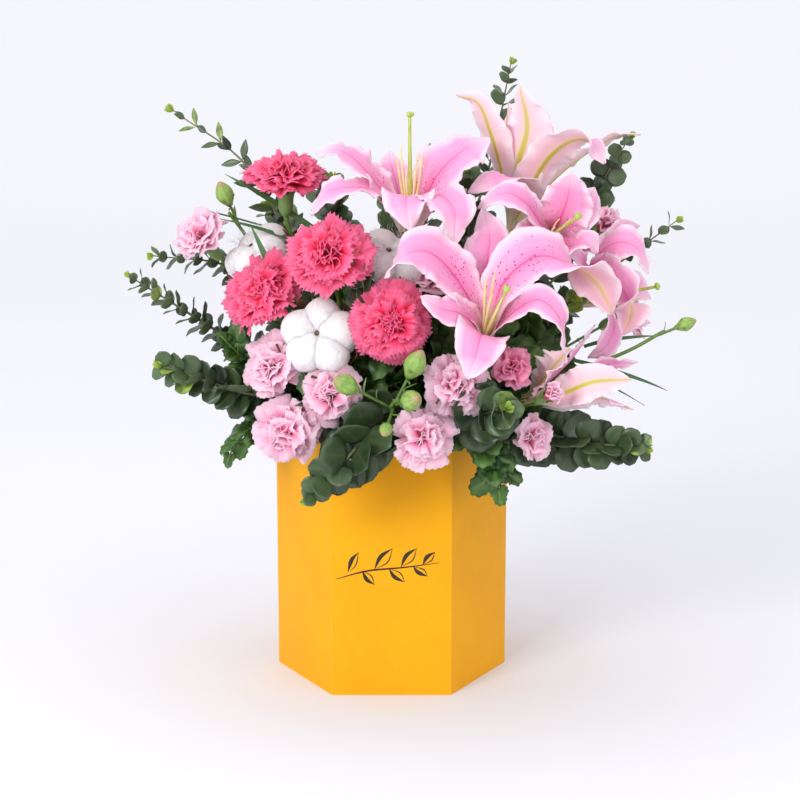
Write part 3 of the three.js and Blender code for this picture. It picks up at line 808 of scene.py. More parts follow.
def make_lilies():
    wide = dict(width=46, ruffle=3.0)
    narrow = dict(width=34, ruffle=1.6)
    make_lily(
        "lily_top", (0.02, -0.42, 0.9),
        [
            ([(-31, -31, 69), (-55, -32, 90), (-76, -22, 88)], dict(wide, width=42)),
            ([(-24, -45, 56), (-47, -62, 63), (-67, -66, 58), (-79, -58, 40)], dict(wide, width=32)),
            ([(-12, 12, 64), (-17, 36, 86)], dict(narrow, width=36)),
            ([(19, -19, 64), (40, -16, 87), (66, 2, 99)], dict(wide, width=52, twist=0.15)),
            ([(20, -46, 55), (35, -72, 46), (35, -84, 19)], dict(wide, width=42)),
            ([(-2, -50, 54), (-3, -74, 50), (0, -80, 30)], dict(narrow, width=44, ruffle=3.4)),
        ],
        pistil=(0, -34, 118),
        filaments=[(-10, -37, 88), (10, -33, 90), (-7, -24, 94), (6, -14, 86), (-3, -44, 76), (4, -44, 74)],
    )
    make_lily(
        "lily_front", (0.12, -0.8, 0.58),
        [
            ([(-19, -36, 58), (-42, -52, 83), (-64, -60, 82), (-78, -56, 64)], dict(wide, width=42)),
            ([(4, -14, 72), (6, -2, 92), (0, 4, 113)], dict(narrow, width=40, ruffle=2.6)),
            (
                [(15, -30, 56), (40, -34, 78), (66, -36, 74), (89, -30, 58), (104, -18, 30)],
                dict(wide, width=54, twist=-1.25, ruffle=3.6),
            ),
            ([(24, -46, 37), (42, -62, 48), (58, -68, 34), (62, -64, 6)], dict(narrow, width=26)),
            ([(-3, -60, 20), (-8, -74, 4), (-14, -76, -12)], dict(wide, width=42)),
            ([(-17, -46, 34), (-33, -56, 40), (-50, -58, 50)], dict(narrow, width=30)),
        ],
        pistil=(16, -66, 56),
        filaments=[(2, -58, 66), (9, -54, 71), (13, -66, 50), (6, -60, 52)],
    )
    make_lily(
        "lily_right", (0.2, -0.85, 0.5),
        [
            ([(11, -34, 28), (16, -40, 46), (18, -46, 66)], dict(wide, width=46)),
            ([(-6, -58, 10), (-2, -74, -2), (0, -78, -12)], dict(narrow, width=30)),
            ([(18, -58, 8), (32, -60, 12), (38, -58, 2)], dict(wide, width=36)),
            ([(-8, -44, 28), (-20, -58, 44), (-38, -62, 51), (-58, -54, 38)], dict(narrow, width=26)),
            ([(22, -32, 28), (34, -24, 42), (40, -16, 52)], dict(narrow, width=34)),
            ([(-12, -50, 18), (-20, -60, 16), (-26, -66, 4)], dict(narrow, width=28)),
        ],
        pistil=(20, -84, 34), filaments=[(7, -70, 31), (12, -66, 26), (4, -64, 24), (16, -62, 30)],
    )
    make_lily(
        "lily_crown", (0.25, 0.22, 0.94),
        [
            (
                [(-6, -10, 72), (-16, -20, 104), (-27, -28, 128), (-45, -30, 134)],
                dict(narrow, width=26, cup=(0.5, 0.5), twist=0.9),
            ),
            ([(8, -14, 74), (15, -20, 108), (8, -26, 141)], dict(wide, width=44, cup=(0.6, 0.2), ruffle=3.6)),
            ([(0, 14, 72), (0, 18, 104), (2, 22, 126)], dict(wide, width=40, cup=(0.6, 0.2))),
            ([(26, -18, 72), (46, -34, 95), (66, -40, 97), (78, -38, 78)], dict(wide, width=40)),
            ([(38, 8, 60), (72, 20, 86), (96, 28, 98), (116, 30, 99)], dict(narrow, width=36)),
            ([(14, -36, 56), (-8, -58, 69), (-36, -62, 56)], dict(narrow, width=30)),
        ],
        pistil=(30, 18, 96), filaments=[(20, 14, 84), (34, 20, 82), (26, 4, 84), (38, 10, 80)], back=CROWN_BACK,
    )
    make_lily(
        "lily_side", (0.86, -0.4, 0.3),
        [
            ([(28, -32, 44), (44, -38, 58), (60, -43, 54), (70, -45, 34)], dict(wide, width=42, flip=True)),
            ([(32, -40, 30), (46, -60, 26), (54, -68, 8), (48, -66, -14)], dict(wide, width=42, flip=True)),
            ([(40, 14, 44), (56, 26, 62), (72, 30, 66)], dict(narrow)),
            ([(18, -34, 34), (14, -50, 46), (4, -58, 52)], dict(narrow, width=30)),
            ([(46, 2, 16), (66, 16, 16), (82, 24, 4)], dict(narrow)),
            ([(36, -34, 6), (42, -52, -8), (34, -60, -26), (20, -60, -34)], dict(narrow, width=30)),
        ],
        pistil=(78, -36, 22), filaments=[(66, -36, 20), (70, -28, 12), (64, -38, 8), (70, -24, 22)],
    )
    make_lily(
        "lily_half", (0.95, -0.2, 0.2),
        [
            ([(14, -20, 20), (24, -28, 34), (36, -26, 48)], dict(wide, rise=8, width=34, cup=(-0.5, -0.4))),
            ([(26, -6, 22), (42, -8, 40), (58, -6, 64)], dict(narrow, rise=10, width=22, cup=(-0.4, -0.2))),
            ([(30, 0, 14), (60, 2, 28), (94, 2, 32)], dict(narrow, rise=10, width=20)),
            ([(30, -22, 10), (54, -34, 22), (84, -34, 24)], dict(wide, rise=10, width=30, cup=(-0.5, -0.4))),
            ([(32, -14, 0), (58, -22, 8), (88, -24, -2)], dict(narrow, rise=10, width=20, cup=(-0.5, -0.4))),
            ([(30, 6, 6), (56, 10, 14), (80, 12, 12)], dict(narrow, rise=10, width=26)),
        ],
        back=CROWN_BACK,
    )


# ---- carnations ---------------------------------------------------------------------------------
def frilled_petal(root, axis, way, radius, lean, rng, rows, cols, look):
    """A fan with a toothed, crumpled margin. lean is its angle from the flower's axis."""
    out = unit(way)
    s, u = np.linspace(0, 1, rows), np.linspace(-1, 1, cols)
    reach = radius * look["reach"]
    end = root + axis * (reach * (0.62 + 0.5 * math.cos(lean))) + out * (reach * math.sin(lean))
    mid = root + axis * reach * (0.7 + 0.25 * math.cos(lean)) + out * reach * 0.3 * math.sin(lean)
    line = bezier(root, root + axis * reach * 0.4, mid, end, s)
    along = headings(line)
    side = unit(np.cross(axis, out))
    up = np.cross(along, side)
    fan = look["inner"] + (1 - look["inner"]) * min(1.0, lean)
    half = radius * fan * rng.uniform(*look["fan"]) * (0.12 + 0.88 * s**1.3)
    rise, run = s[:, None], u[None, :]
    folds = rng.uniform(*look["folds"])
    phase, fine = rng.uniform(0, 6.3, 2)
    ridge = np.sin(u * folds * np.pi / 1.6 + phase) + 0.45 * np.sin(u * folds * 4.1 + fine)
    crumple = radius * rng.uniform(*look["crumple"]) * (1.5 - 0.5 * min(1.0, lean)) * rise**1.6 * ridge
    saw = np.where(np.arange(cols) % 2 == 0, -1.0, 1.0) * rng.uniform(0.7, 1.3, cols)
    length = -look["round"] * run**2 * rise + look["tooth"] * saw * (rise > 0.98)
    length = length + 0.04 * np.sin(run * 3 + phase) * rise
    roll = 0.12 * radius * rise**3 * rng.uniform(-0.6, 1.0)
    bow = -0.14 * radius * (rise * run**2)
    grid = spread(line, (side, np.outer(half, u)), (along, length * radius), (up, crumple + bow - roll))
    return shell(grid, FRILL_THICKNESS, tone=rng.uniform(0, 1), under=0)


# how a carnation petal is cut and crumpled: large heads are toothed, spray heads wavy
TOOTHED = dict(
    reach=1.0, fan=(0.52, 0.72), folds=(2.0, 3.4), crumple=(0.07, 0.13), round=0.16, tooth=0.045, inner=0.42,
    stray=0.26,
)
WAVY = dict(
    reach=0.98, fan=(0.5, 0.72), folds=(1.1, 2.2), crumple=(0.09, 0.17), round=0.2, tooth=0.02, inner=0.6,
    stray=0.34,
)


def carnation_parts(centre, facing, radius, count, seed, rows, cols, look, most=1.72):
    """All the petals of one head, from the crowded middle ones to the outer ones."""
    rng = np.random.default_rng(seed)
    side, other, axis = frame_about(facing)
    root = centre - axis * radius * 0.62
    parts = []
    for k in range(count):
        share = (k + 0.5) / count
        stray = look["stray"]
        loose = 0.3 + 0.7 * min(1.0, 3 * (1 - share))
        lean = most * (0.62 * share + 0.38 * share**3) + rng.uniform(-stray, stray) * loose
        angle = k * GOLDEN + rng.uniform(-0.5, 0.5)
        way = turned(side, other, angle)
        size = radius * rng.uniform(0.88, 1.1) * (0.84 + 0.16 * min(1.0, share * 2))
        aside = radius * 0.16 * rng.uniform(-1, 1) * (1 - share)
        start = root + way * aside + np.cross(axis, way) * aside * 0.8 + axis * radius * 0.08 * (1 - share)
        parts.append(frilled_petal(start, axis, way, size, lean, rng, rows, cols, look))
    return parts


def calyx_parts(base, axis, radius, length):
    """The green tube under the petals, with its five points."""
    steps = np.linspace(0, 1, 9)
    line = base + np.outer(steps * length, axis)
    cup = tube(
        line, radius * curve_through([(0, 0.55), (0.25, 0.95), (0.7, 1.05), (1, 1.25)], steps), 12, material=1,
    )
    side, other, _ = frame_about(axis)
    parts = [cup]
    for k in range(5):
        way = turned(side, other, k * FIFTH)
        across = np.cross(axis, way)
        s, u = np.linspace(0, 1, 6), np.linspace(-1, 1, 5)
        out = base + axis * length + way * radius * 1.2
        ridge = out + np.outer(s * radius * 1.5, axis) + np.outer(s**2 * radius * 0.9, way)
        width = radius * 0.75 * (1 - s) ** 0.8 + 0.15
        grid = spread(ridge, (across, np.outer(width, u)))
        parts.append(shell(grid, 0.5, top=1))
    return parts


def make_carnation(node, radius, count, petal, nod=(0, 0, 0), seed=1, most=1.72, small=False, look=WAVY, flat=0.0):
    """A carnation on its stem; nod is how far its head leans from the stem's line."""
    foot, apex = ends_of(node)
    axis = unit(apex - foot)
    facing = unit(axis + vec(*nod))
    cad_radius = np.linalg.norm(np.cross(corners_of(node) - foot, axis), axis=1).max()
    centre = apex - axis * cad_radius * 0.45
    rows, cols = (7, 17) if small else (8, 27)
    parts = carnation_parts(centre, facing, radius, count, seed, rows, cols, look, most)
    if flat:
        for petals in parts:
            gap = (petals["points"] - centre) @ facing
            petals["points"] = petals["points"] - np.outer(gap * flat, facing)
    tube_length, tube_radius = radius * 0.62, radius * (0.2 if small else 0.19)
    base = centre - facing * radius * (1.12 - flat * 0.5)
    parts += calyx_parts(base, facing, tube_radius, tube_length)
    thick = 1.2 if small else 2.2
    steps = np.linspace(0, 1, 18)
    stalk = stalk_line(foot, base, base - facing * radius * 0.5, base + facing * 1.5, steps)
    parts.append(tube(stalk, thick, 8, material=2))
    for k in (0.45, 0.75):
        at = stalk[int(k * 17)]
        parts.append(
            ball(at, (thick * 1.5, thick * 1.1), unit(stalk[int(k * 17) + 1] - at), rings=6, sides=8, material=2)
        )
    make_piece(node + "_flower", parts, [petal, CALYX, STEM], BODY_OF[node], [node])


def make_carnations():
    big = dict(count=66, petal=HOT, look=TOOTHED)
    make_carnation("carnation_top", 33, nod=(0.3, -0.12, 0.1), seed=3, most=1.85, flat=0.18, **big)
    make_carnation("carnation_centre", 33, nod=(0.05, -0.35, 0), seed=5, **big)
    make_carnation("carnation_left", 33, nod=(0, -0.35, 0), seed=8, **big)
    make_carnation("carnation_front", 32, nod=(0, -0.7, -0.3), seed=13, **big)
    sprays = {
        "spray_left_far": (26, (0, -0.3, 0)),
        "spray_left_upper": (27, (0, -0.3, 0)),
        "spray_left_inner": (27, (0, -0.3, 0.1)),
        "spray_left_low": (28, (0, -0.3, 0)),
        "spray_front_low": (26, (0, -0.3, 0.1)),
        "spray_front_right": (28, (0, -0.3, 0)),
        "spray_middle": (25, (0, 0, 0)),
        "spray_back_top": (22, (0, -0.2, 0)),
        "spray_back_right": (24, (0, -0.2, 0)),
        "spray_rear_left": (27, (0, 0, 0)),
        "spray_rear_right": (27, (0, 0, 0)),
    }
    for k, (node, (radius, nod)) in enumerate(sprays.items()):
        make_carnation(node, radius, 30, SOFT_PINK, nod, seed=40 + k, small=True)
    make_carnation("spray_right_upper", 22, 26, ROSE, (0, -0.2, 0.1), seed=61, most=1.3, small=True)
    make_carnation("spray_right_bud", 17, 14, SOFT_PINK, (0.1, 0, 0.3), seed=62, most=0.45, small=True)
    make_carnation("spray_right_low", 22, 22, SOFT_PINK, (0.1, -0.2, 0.2), seed=63, most=1.2, small=True)


# ---- cotton -------------------------------------------------------------------------------------
def cotton_lock(centre, way, axis, radius, rng, tone):
    """One fluffy lobe of a boll."""
    lean = unit(way * 0.8 + axis * 0.55)
    bumps = rng.uniform(0, 6.3, (5, 2))

    def fluff(a, h):
        return 1 + sum(
            0.022 * np.sin((k + 1) * a + p) * np.cos((k + 1) * h * 3 + q)
            for k, (p, q) in enumerate(bumps)
        )

    size = radius * rng.uniform(0.53, 0.6)
    return ball(centre + way * radius * 0.45 - axis * radius * 0.02, (size, size * 1.2), lean, fluff, 26, 36, tone)


def cotton_wisps(centre, axis, radius, count, rng):
    """Loose fibres standing off the lobes."""
    parts = []
    s = np.linspace(0, 1, 4)
    for _ in range(count):
        way = unit(rng.normal(size=3) + axis * 0.5)
        across = unit(np.cross(way, rng.normal(size=3)))
        bend = unit(rng.normal(size=3)) * rng.uniform(2, 5)
        start = centre + way * radius * rng.uniform(0.74, 0.9)
        line = start + np.outer(s * rng.uniform(2, 5), way) + np.outer(s**2, bend)
        width = 0.14 * (1 - 0.6 * s)
        grid = spread(line, (across, np.outer(width, (-1, 1))))
        parts.append(shell(grid, 0.1, under=0, tone=0.9))
    return parts


def make_cotton(node, nod, radius, seed):
    """An open boll of five lobes on its dry husk and stem."""
    rng = np.random.default_rng(seed)
    foot, apex = ends_of(node)
    axis = unit(apex - foot)
    facing = unit(axis + vec(*nod))
    side, other, _ = frame_about(facing)
    centre = apex - axis * radius * 0.72
    parts = []
    for k in range(5):
        angle = k * FIFTH + 0.3
        way = turned(side, other, angle)
        parts.append(cotton_lock(centre, way, facing, radius, rng, rng.uniform(0.3, 0.9)))
    parts.append(ball(centre - facing * radius * 0.1, (radius * 0.5, radius * 0.5), facing, rings=10, sides=14))
    parts.append(ball(centre + facing * radius * 0.4, (2.4, 1.6), facing, rings=6, sides=10, material=1))
    parts += cotton_wisps(centre, facing, radius, 300, rng)
    for k in range(5):
        angle = k * FIFTH + 0.928
        way = turned(side, other, angle)
        across = np.cross(facing, way)
        s, u = np.linspace(0, 1, 10), np.linspace(-1, 1, 5)
        base = centre - facing * radius * 0.82
        turn, tip = way * 1.15 + facing * 0.5, way * 1.12 + facing * 1.15
        line = bezier(base, base + way * radius * 0.7, base + turn * radius, base + tip * radius, s)
        width = radius * 0.3 * curve_through([(0, 0.5), (0.35, 1.0), (0.8, 0.5), (1, 0.06)], s)
        grid = spread(line, (across, np.outer(width, u)), (facing, 0.12 * np.outer(width, u**2)))
        parts.append(shell(grid, 0.8, top=1, under=1))
    steps = np.linspace(0, 1, 16)
    base = centre - facing * radius * 0.8
    parts.append(tube(stalk_line(foot, base, base - facing * 14, base, steps), 1.9, 8, material=1))
    parts.append(ball(base, (radius * 0.3, radius * 0.14), facing, rings=6, sides=12, material=1))
    make_piece(node + "_boll", parts, [COTTON, WOOD], BODY_OF[node], [node])


# ---- leaves -------------------------------------------------------------------------------------
def leaf(base, way, face, length, width, shape, rng, rows=8, cup=0.2, curl=0.15, top=0, under=1, tone=None):
    """A leaf from its base along `way`, its upper side toward `face`."""
    way = unit(way)
    face = unit(face - way * (face @ way))
    across = np.cross(face, way)
    s, u = np.linspace(0, 1, rows), np.linspace(-1, 1, 5)
    half = width / 2 * curve_through(shape, s)
    bend = curl * length * s**2
    line = base + np.outer(s * length * (1 - 0.2 * abs(curl)), way) - np.outer(bend, face)
    dish = cup * np.outer(half, np.abs(u) ** 1.5)
    dish = dish + 0.05 * width * np.outer(np.sin(s * 7 + rng.uniform(0, 6)), u**2)
    grid = spread(line, (across, np.outer(half, u)), (face, dish))
    tone = rng.uniform(0, 1) * 0.8 if tone is None else tone
    return shell(grid, LEAF_THICKNESS, tone, top, under)


def lobed_leaf(base, way, face, length, rng):
    """A leaf with five rounded lobes, each with a few blunt teeth."""
    way = unit(way)
    face = unit(face - way * (face @ way))
    across = np.cross(face, way)
    rings, sides, wide = 4, 43, 0.8 * 0.72
    angle = np.linspace(-2.75, 2.75, sides)
    lobe = 0.60 + 0.24 * np.abs(np.cos(angle * 1.42)) ** 0.8 + 0.16 * np.exp(-((angle / 0.6) ** 2))
    teeth = 0.05 * np.sin(angle * 15 + rng.uniform(0, 6))
    reach = (lobe + teeth) * (1 - 0.25 * (np.abs(angle) / 2.75) ** 4)
    share = np.linspace(0.0, 1.0, rings)
    forward = share[:, None] * (np.cos(angle) * reach)[None, :] * 0.62 + 0.36 * share[:, None] ** 0.2
    sideways = share[:, None] * (np.sin(angle) * reach)[None, :] * wide
    forward[0], sideways[0] = 0.34, np.sin(angle) * 0.01
    height = 0.12 * np.abs(sideways) + 0.05 * np.sin(angle * 5.7)[None, :] * share[:, None] ** 2
    height = height - rng.uniform(0.05, 0.35) * forward**2
    grid = (
        base
        + way * (forward * length)[..., None]
        + across * (sideways * length)[..., None]
        + face * (height * length)[..., None]
    )
    blade = shell(grid[:, ::-1], LEAF_THICKNESS, rng.uniform(0, 0.9))
    blade["uv"][:, 1] = 0.5 + 0.5 * blade["uv"][:, 1]
    stalk = tube(np.linspace(base, grid[0].mean(0), 4), 0.7, 6, material=2)
    return [blade, stalk]


# outlines of leaves: (share of the length, share of the greatest width)
ROUND = [(0, 0.1), (0.1, 0.55), (0.3, 0.92), (0.5, 1.0), (0.75, 0.86), (0.92, 0.5), (1, 0.08)]
OVAL = [(0, 0.08), (0.15, 0.5), (0.4, 1.0), (0.65, 0.9), (0.88, 0.42), (1, 0.03)]
BLADE = [(0, 0.8), (0.3, 1.0), (0.7, 0.7), (1, 0.03)]


def sprig_parts(path, size=(26, 8), pairs=13, shape=ROUND, aspect=0.92, start=0.3, seed=1, face=None, young=0.72):
    """Round leaves in pairs down a twig, each pair turned a quarter from the last."""
    rng = np.random.default_rng(seed)
    line = smooth_path(path, 120)
    steps = np.linspace(0, 1, 30)
    parts = [tube(smooth_path(path, 30), curve_through([(0, 1.7), (0.6, 1.3), (1, 0.5)], steps), 8, material=2)]
    for k in range(pairs):
        share = start + (1 - start) * ((k + 0.3) / pairs) ** 0.92
        i = min(int(share * 119), 118)
        point, along = line[i], unit(line[i + 1] - line[i])
        side, other, _ = frame_about(along)
        turn = (k % 2) * math.pi / 2 + rng.uniform(-0.3, 0.3)
        length = (size[0] + (size[1] - size[0]) * (k / pairs) ** 0.9) * rng.uniform(0.86, 1.12)
        for way in (1, -1):
            out = turned(side, other, turn) * way
            heading = unit(out + along * (0.5 + 0.5 * k / pairs) + UP * rng.uniform(-0.1, 0.1))
            up = along if face is None else unit(vec(*face)) + along * 0.35
            up = up + rng.normal(size=3) * 0.22
            tone = rng.uniform(0, 0.75) if k < pairs * young else rng.uniform(0.6, 1.1)
            curl = rng.uniform(-0.1, 0.22)
            root, width = point + out * 1.2, length * aspect
            parts.append(leaf(root, heading, up, length, width, shape, rng, cup=0.12, curl=curl, tone=tone))
    tip = line[-1]
    for k in range(5):
        way = unit(line[-1] - line[-3]) + rng.normal(size=3) * 0.5
        parts.append(leaf(tip, way, rng.normal(size=3), size[1] * 0.6, size[1] * 0.4, shape, rng, tone=1.2))
    return parts


def make_eucalyptus(node, path, **settings):
    parts = sprig_parts(path, **settings)
    make_piece(node + "_sprig", parts, SPRIG_LOOK, BODY_OF[node], [node])


def make_shoots():
    """Short eucalyptus shoots tucked in between the heads."""
    shoots = [
        (
            [(44, -60, 244), (58, -104, 250), (70, -134, 251), (90, -158, 258)],
            dict(size=(36, 13), pairs=9, start=0.55, face=(0.25, -1, 0.2), aspect=1.0, young=0.55),
        ),
        (
            [(-8, -50, 250), (-14, -92, 300), (-20, -116, 342), (-27, -122, 374)],
            dict(size=(19, 8), pairs=8, start=0.6, face=(0, -1, 0.2), aspect=1.0),
        ),
        (
            [(-16, 10, 250), (-32, 16, 330), (-46, 8, 388), (-50, 0, 424)],
            dict(size=(30, 14), pairs=13, start=0.45, face=(0, -1, 0.4), aspect=0.95),
        ),
        (
            [(14, 24, 250), (14, 30, 320), (8, 24, 372), (0, 10, 404)],
            dict(size=(30, 15), pairs=11, start=0.45, face=(0, -1, 0.4), aspect=0.95),
        ),
        (
            [(36, 24, 250), (60, 30, 320), (66, 26, 372), (64, 22, 430)],
            dict(size=(28, 13), pairs=13, start=0.4, face=(0, -1, 0.4), aspect=0.95),
        ),
        (
            [(60, 4, 250), (110, -4, 290), (136, -22, 312), (152, -34, 330)],
            dict(size=(28, 14), pairs=11, start=0.4, face=(0, -1, 0.4), aspect=0.8),
        ),
    ]
    parts = []
    for k, (path, settings) in enumerate(shoots):
        parts += sprig_parts(path, seed=150 + k, **settings)
    make_piece("eucalyptus_shoots", parts, SPRIG_LOOK, "insert")


def make_all_eucalyptus():
    sprigs = {
        "eucalyptus_top_left": (
            [(-26, 12, 212), (-66, 20, 320), (-118, 8, 430), (-182, 0, 482)],
            dict(size=(26, 14), shape=OVAL, aspect=0.36, pairs=15, start=0.4, face=(0, -1, 0.3)),
        ),
        "eucalyptus_left": (
            [(-30, 8, 214), (-92, -14, 262), (-150, -36, 304), (-216, -44, 348)],
            dict(size=(25, 10), pairs=25, start=0.3, aspect=0.8),
        ),
        "eucalyptus_left_upper": (
            [(-36, 22, 216), (-82, 26, 294), (-136, 12, 348), (-203, 4, 360)],
            dict(size=(28, 10), pairs=20, start=0.36, aspect=0.75),
        ),
        "eucalyptus_left_low": (
            [(-34, -10, 226), (-92, -42, 244), (-130, -62, 256), (-188, -72, 278)],
            dict(size=(32, 13), pairs=20, start=0.3, face=(-0.2, -0.9, 0.5), aspect=0.95),
        ),
        "eucalyptus_front": (
            [(-12, -30, 232), (-14, -98, 236), (-30, -146, 222), (-66, -154, 186)],
            dict(size=(48, 11), pairs=13, start=0.36, face=(0.1, -1, 0.35), aspect=1.0, young=0.85),
        ),
        "eucalyptus_right_low": (
            [(56, -34, 224), (96, -60, 228), (150, -86, 218), (206, -94, 214)],
            dict(size=(36, 13), pairs=18, start=0.3, face=(0, -1, 0.5), aspect=1.0, young=0.85),
        ),
        "eucalyptus_right_top": (
            [(24, 34, 212), (96, 56, 300), (160, 66, 380), (206, 48, 458)],
            dict(size=(36, 11), pairs=15, start=0.42, face=(0, -1, 0.25), aspect=1.0, young=0.85),
        ),
        "eucalyptus_top": (
            [(12, 22, 208), (46, 60, 320), (84, 92, 420), (104, 76, 520)], dict(size=(28, 11), pairs=19, start=0.4),
        ),
        "eucalyptus_right_far": (
            [(38, 22, 216), (104, 46, 270), (180, 66, 330), (250, 62, 384)],
            dict(size=(27, 12), pairs=16, start=0.4, shape=OVAL, aspect=0.62),
        ),
        "eucalyptus_centre_left": (
            [(-12, 18, 208), (-48, 44, 296), (-80, 46, 360), (-104, 34, 398)],
            dict(size=(38, 18), pairs=14, start=0.36),
        ),
        "eucalyptus_rear_left": (
            [(-18, 24, 214), (-30, 70, 290), (-50, 118, 350), (-70, 150, 410)],
            dict(size=(34, 13), pairs=16, start=0.3),
        ),
        "eucalyptus_rear_right": (
            [(10, 30, 214), (20, 80, 300), (26, 126, 370), (36, 156, 440)],
            dict(size=(34, 13), pairs=16, start=0.3),
        ),
    }
    for k, (node, (path, settings)) in enumerate(sprigs.items()):
        make_eucalyptus(node, path, seed=100 + k, **settings)


def make_leaf_spray(node, path, count, size, face, seed):
    """Dark lobed leaves along a stem, facing out of the arrangement."""
    start, stop = 0.3, 0.86  # the leafy part of the stem
    rng = np.random.default_rng(seed)
    line = smooth_path(path, 60)
    steps = np.linspace(0, 1, 20)
    parts = [tube(smooth_path(path, 20), curve_through([(0, 1.6), (1, 0.8)], steps), 8, material=2)]
    for k in range(count):
        i = min(int((start + (stop - start) * (k + 0.5) / count) * 59), 58)
        point, along = line[i], unit(line[i + 1] - line[i])
        side, other, _ = frame_about(along)
        angle = k * 2.4 + rng.uniform(-0.3, 0.3)
        out = side * math.cos(angle) + other * math.sin(angle) * 0.6
        heading = unit(out + along * rng.uniform(0.5, 1.1))
        up = unit(vec(*face)) + heading * 0.2 + rng.normal(size=3) * 0.3
        parts += lobed_leaf(point, heading, up, size * rng.uniform(0.75, 1.15), rng)
    tip = unit(line[-1] - line[-3])
    parts += lobed_leaf(line[-6], tip, vec(*face), size * 0.6, rng)
    make_piece(node + "_leaves", parts, LEAFY_LOOK, BODY_OF[node], [node])


def make_leaf_sprays():
    sprays = {
        "leaf_spray_front_right": (
            [(22, -30, 234), (62, -96, 232), (80, -112, 214), (88, -118, 176)], 26, 30, (0, -0.9, 0.5),
        ),
        "leaf_spray_left_low": (
            [(-36, -22, 230), (-94, -60, 230), (-124, -72, 220), (-136, -78, 196)], 12, 23, (-0.3, -0.8, 0.6),
        ),
        "leaf_spray_left": (
            [(-40, -8, 222), (-88, -34, 252), (-120, -56, 280), (-139, -73, 303)], 20, 27, (-0.2, -0.8, 0.6),
        ),
        "leaf_spray_right_low": (
            [(60, -8, 222), (104, -24, 236), (142, -36, 224), (166, -40, 200)], 14, 27, (0.4, -0.5, 0.8),
        ),
        "leaf_spray_rear": ([(4, 38, 226), (6, 96, 250), (4, 128, 262), (0, 152, 250)], 18, 40, (0, 0.5, 0.85)),
    }
    for k, (node, (path, count, size, face)) in enumerate(sprays.items()):
        make_leaf_spray(node, path, count, size, face, seed=201 + k)


def make_collar():
    """Short leafy shoots pushed in all round, which hide the foam."""
    rng = np.random.default_rng(300)
    parts = []
    count, inner, outer = 150, 18, 88
    for k in range(count):
        angle = k * GOLDEN
        far = inner + (outer - inner) * math.sqrt((k + 0.5) / count)
        base = vec(far * 0.8 * math.cos(angle), far * 0.8 * math.sin(angle), FOAM_TOP)
        lean = 0.25 + 0.9 * far / outer
        heading = unit(vec(math.cos(angle) * lean, math.sin(angle) * lean, 1.0) + rng.normal(size=3) * 0.35)
        up = unit(vec(-math.cos(angle), -math.sin(angle), 0.8) + rng.normal(size=3) * 0.4)
        parts += lobed_leaf(base, heading, up, rng.uniform(38, 60), rng)
    for k in range(64):
        angle = k * 0.0982 + rng.uniform(-0.04, 0.04)
        out = vec(math.cos(angle), math.sin(angle), 0)
        base = out * rng.uniform(70, 78) + UP * rng.uniform(FOAM_TOP - 14, FOAM_TOP)
        heading = unit(out + UP * rng.uniform(0.15, 0.75) + rng.normal(size=3) * 0.2)
        parts += lobed_leaf(
            base, heading, UP * 0.8 + out * 0.5 + rng.normal(size=3) * 0.2, rng.uniform(30, 42), rng,
        )
    make_piece("leaf_collar", parts, LEAFY_LOOK, "insert")


def make_leaf_shoots():
    """Leafy shoots that stand up between the heads."""
    rng = np.random.default_rng(310)
    parts = []
    shoots = [
        (-70, -40, 320), (-20, -50, 320), (30, -50, 315), (84, -50, 320), (120, -40, 300), (0, -10, 345),
        (50, 0, 350), (100, 10, 330), (-50, 0, 360), (-90, -20, 330), (140, -30, 280), (60, -90, 290),
        (0, -96, 300), (-50, -110, 286), (110, -70, 270), (0, 60, 330), (60, 70, 320), (-60, 50, 330),
    ]
    for shoot in shoots:
        foot, head = vec(shoot[0] * 0.5, shoot[1] * 0.5, FOAM_TOP - 2), vec(*shoot)
        line = smooth_path([foot, foot * 0.5 + head * 0.5 + vec(0, 0, 12), head], 20)
        parts.append(tube(line, 1.1, 6, material=2))
        for k in range(8):
            point, along = line[8 + int(k * 1.5)], unit(line[-1] - line[-4])
            side, other, _ = frame_about(along)
            angle = k * 2.4 + rng.uniform(-0.4, 0.4)
            heading = unit(turned(side, other, angle) + along * 0.7)
            parts += lobed_leaf(
                point, heading, vec(0, -0.8, 0.6) + rng.normal(size=3) * 0.4, rng.uniform(30, 44), rng,
            )
    make_piece("leaf_shoots", parts, LEAFY_LOOK, "insert")


def bud_parts(low, high, size, rng):
    """An egg-shaped bud in its green calyx, on a short side shoot."""
    way = unit(high - low)
    hump = lambda h: np.sin(np.pi * np.clip(1.06 - h, 0, 1) ** 1.15)
    egg = lambda a, h: 0.62 + 0.5 * hump(h) * (1 + 0.03 * np.cos(10 * a))
    parts = [tube(np.linspace(low, high, 6), 1.2, 8, material=1)]
    parts.append(
        ball(high + way * size * 0.35, (size * 0.42, size * 0.78), way, egg, 16, 20, rng.uniform(0.3, 0.8))
    )
    side, other, _ = frame_about(way)
    for k in range(4):
        out = turned(side, other, k * 1.571 + 0.4)
        root = high - way * size * 0.35 + out * size * 0.16
        parts.append(leaf(root, way + out * 0.3, out, size * 0.75, size * 0.36, OVAL, rng, 7, -0.3, -0.28, 2, 2))
    for k in (0.35, 0.7):
        at = low + (high - low) * k
        heading = unit(way * 0.6 + side * rng.uniform(-1, 1) + other * rng.uniform(-1, 1))
        parts.append(leaf(at, heading, way, size * 0.8, size * 0.16, BLADE, rng, rows=8, top=2, under=2))
    return parts


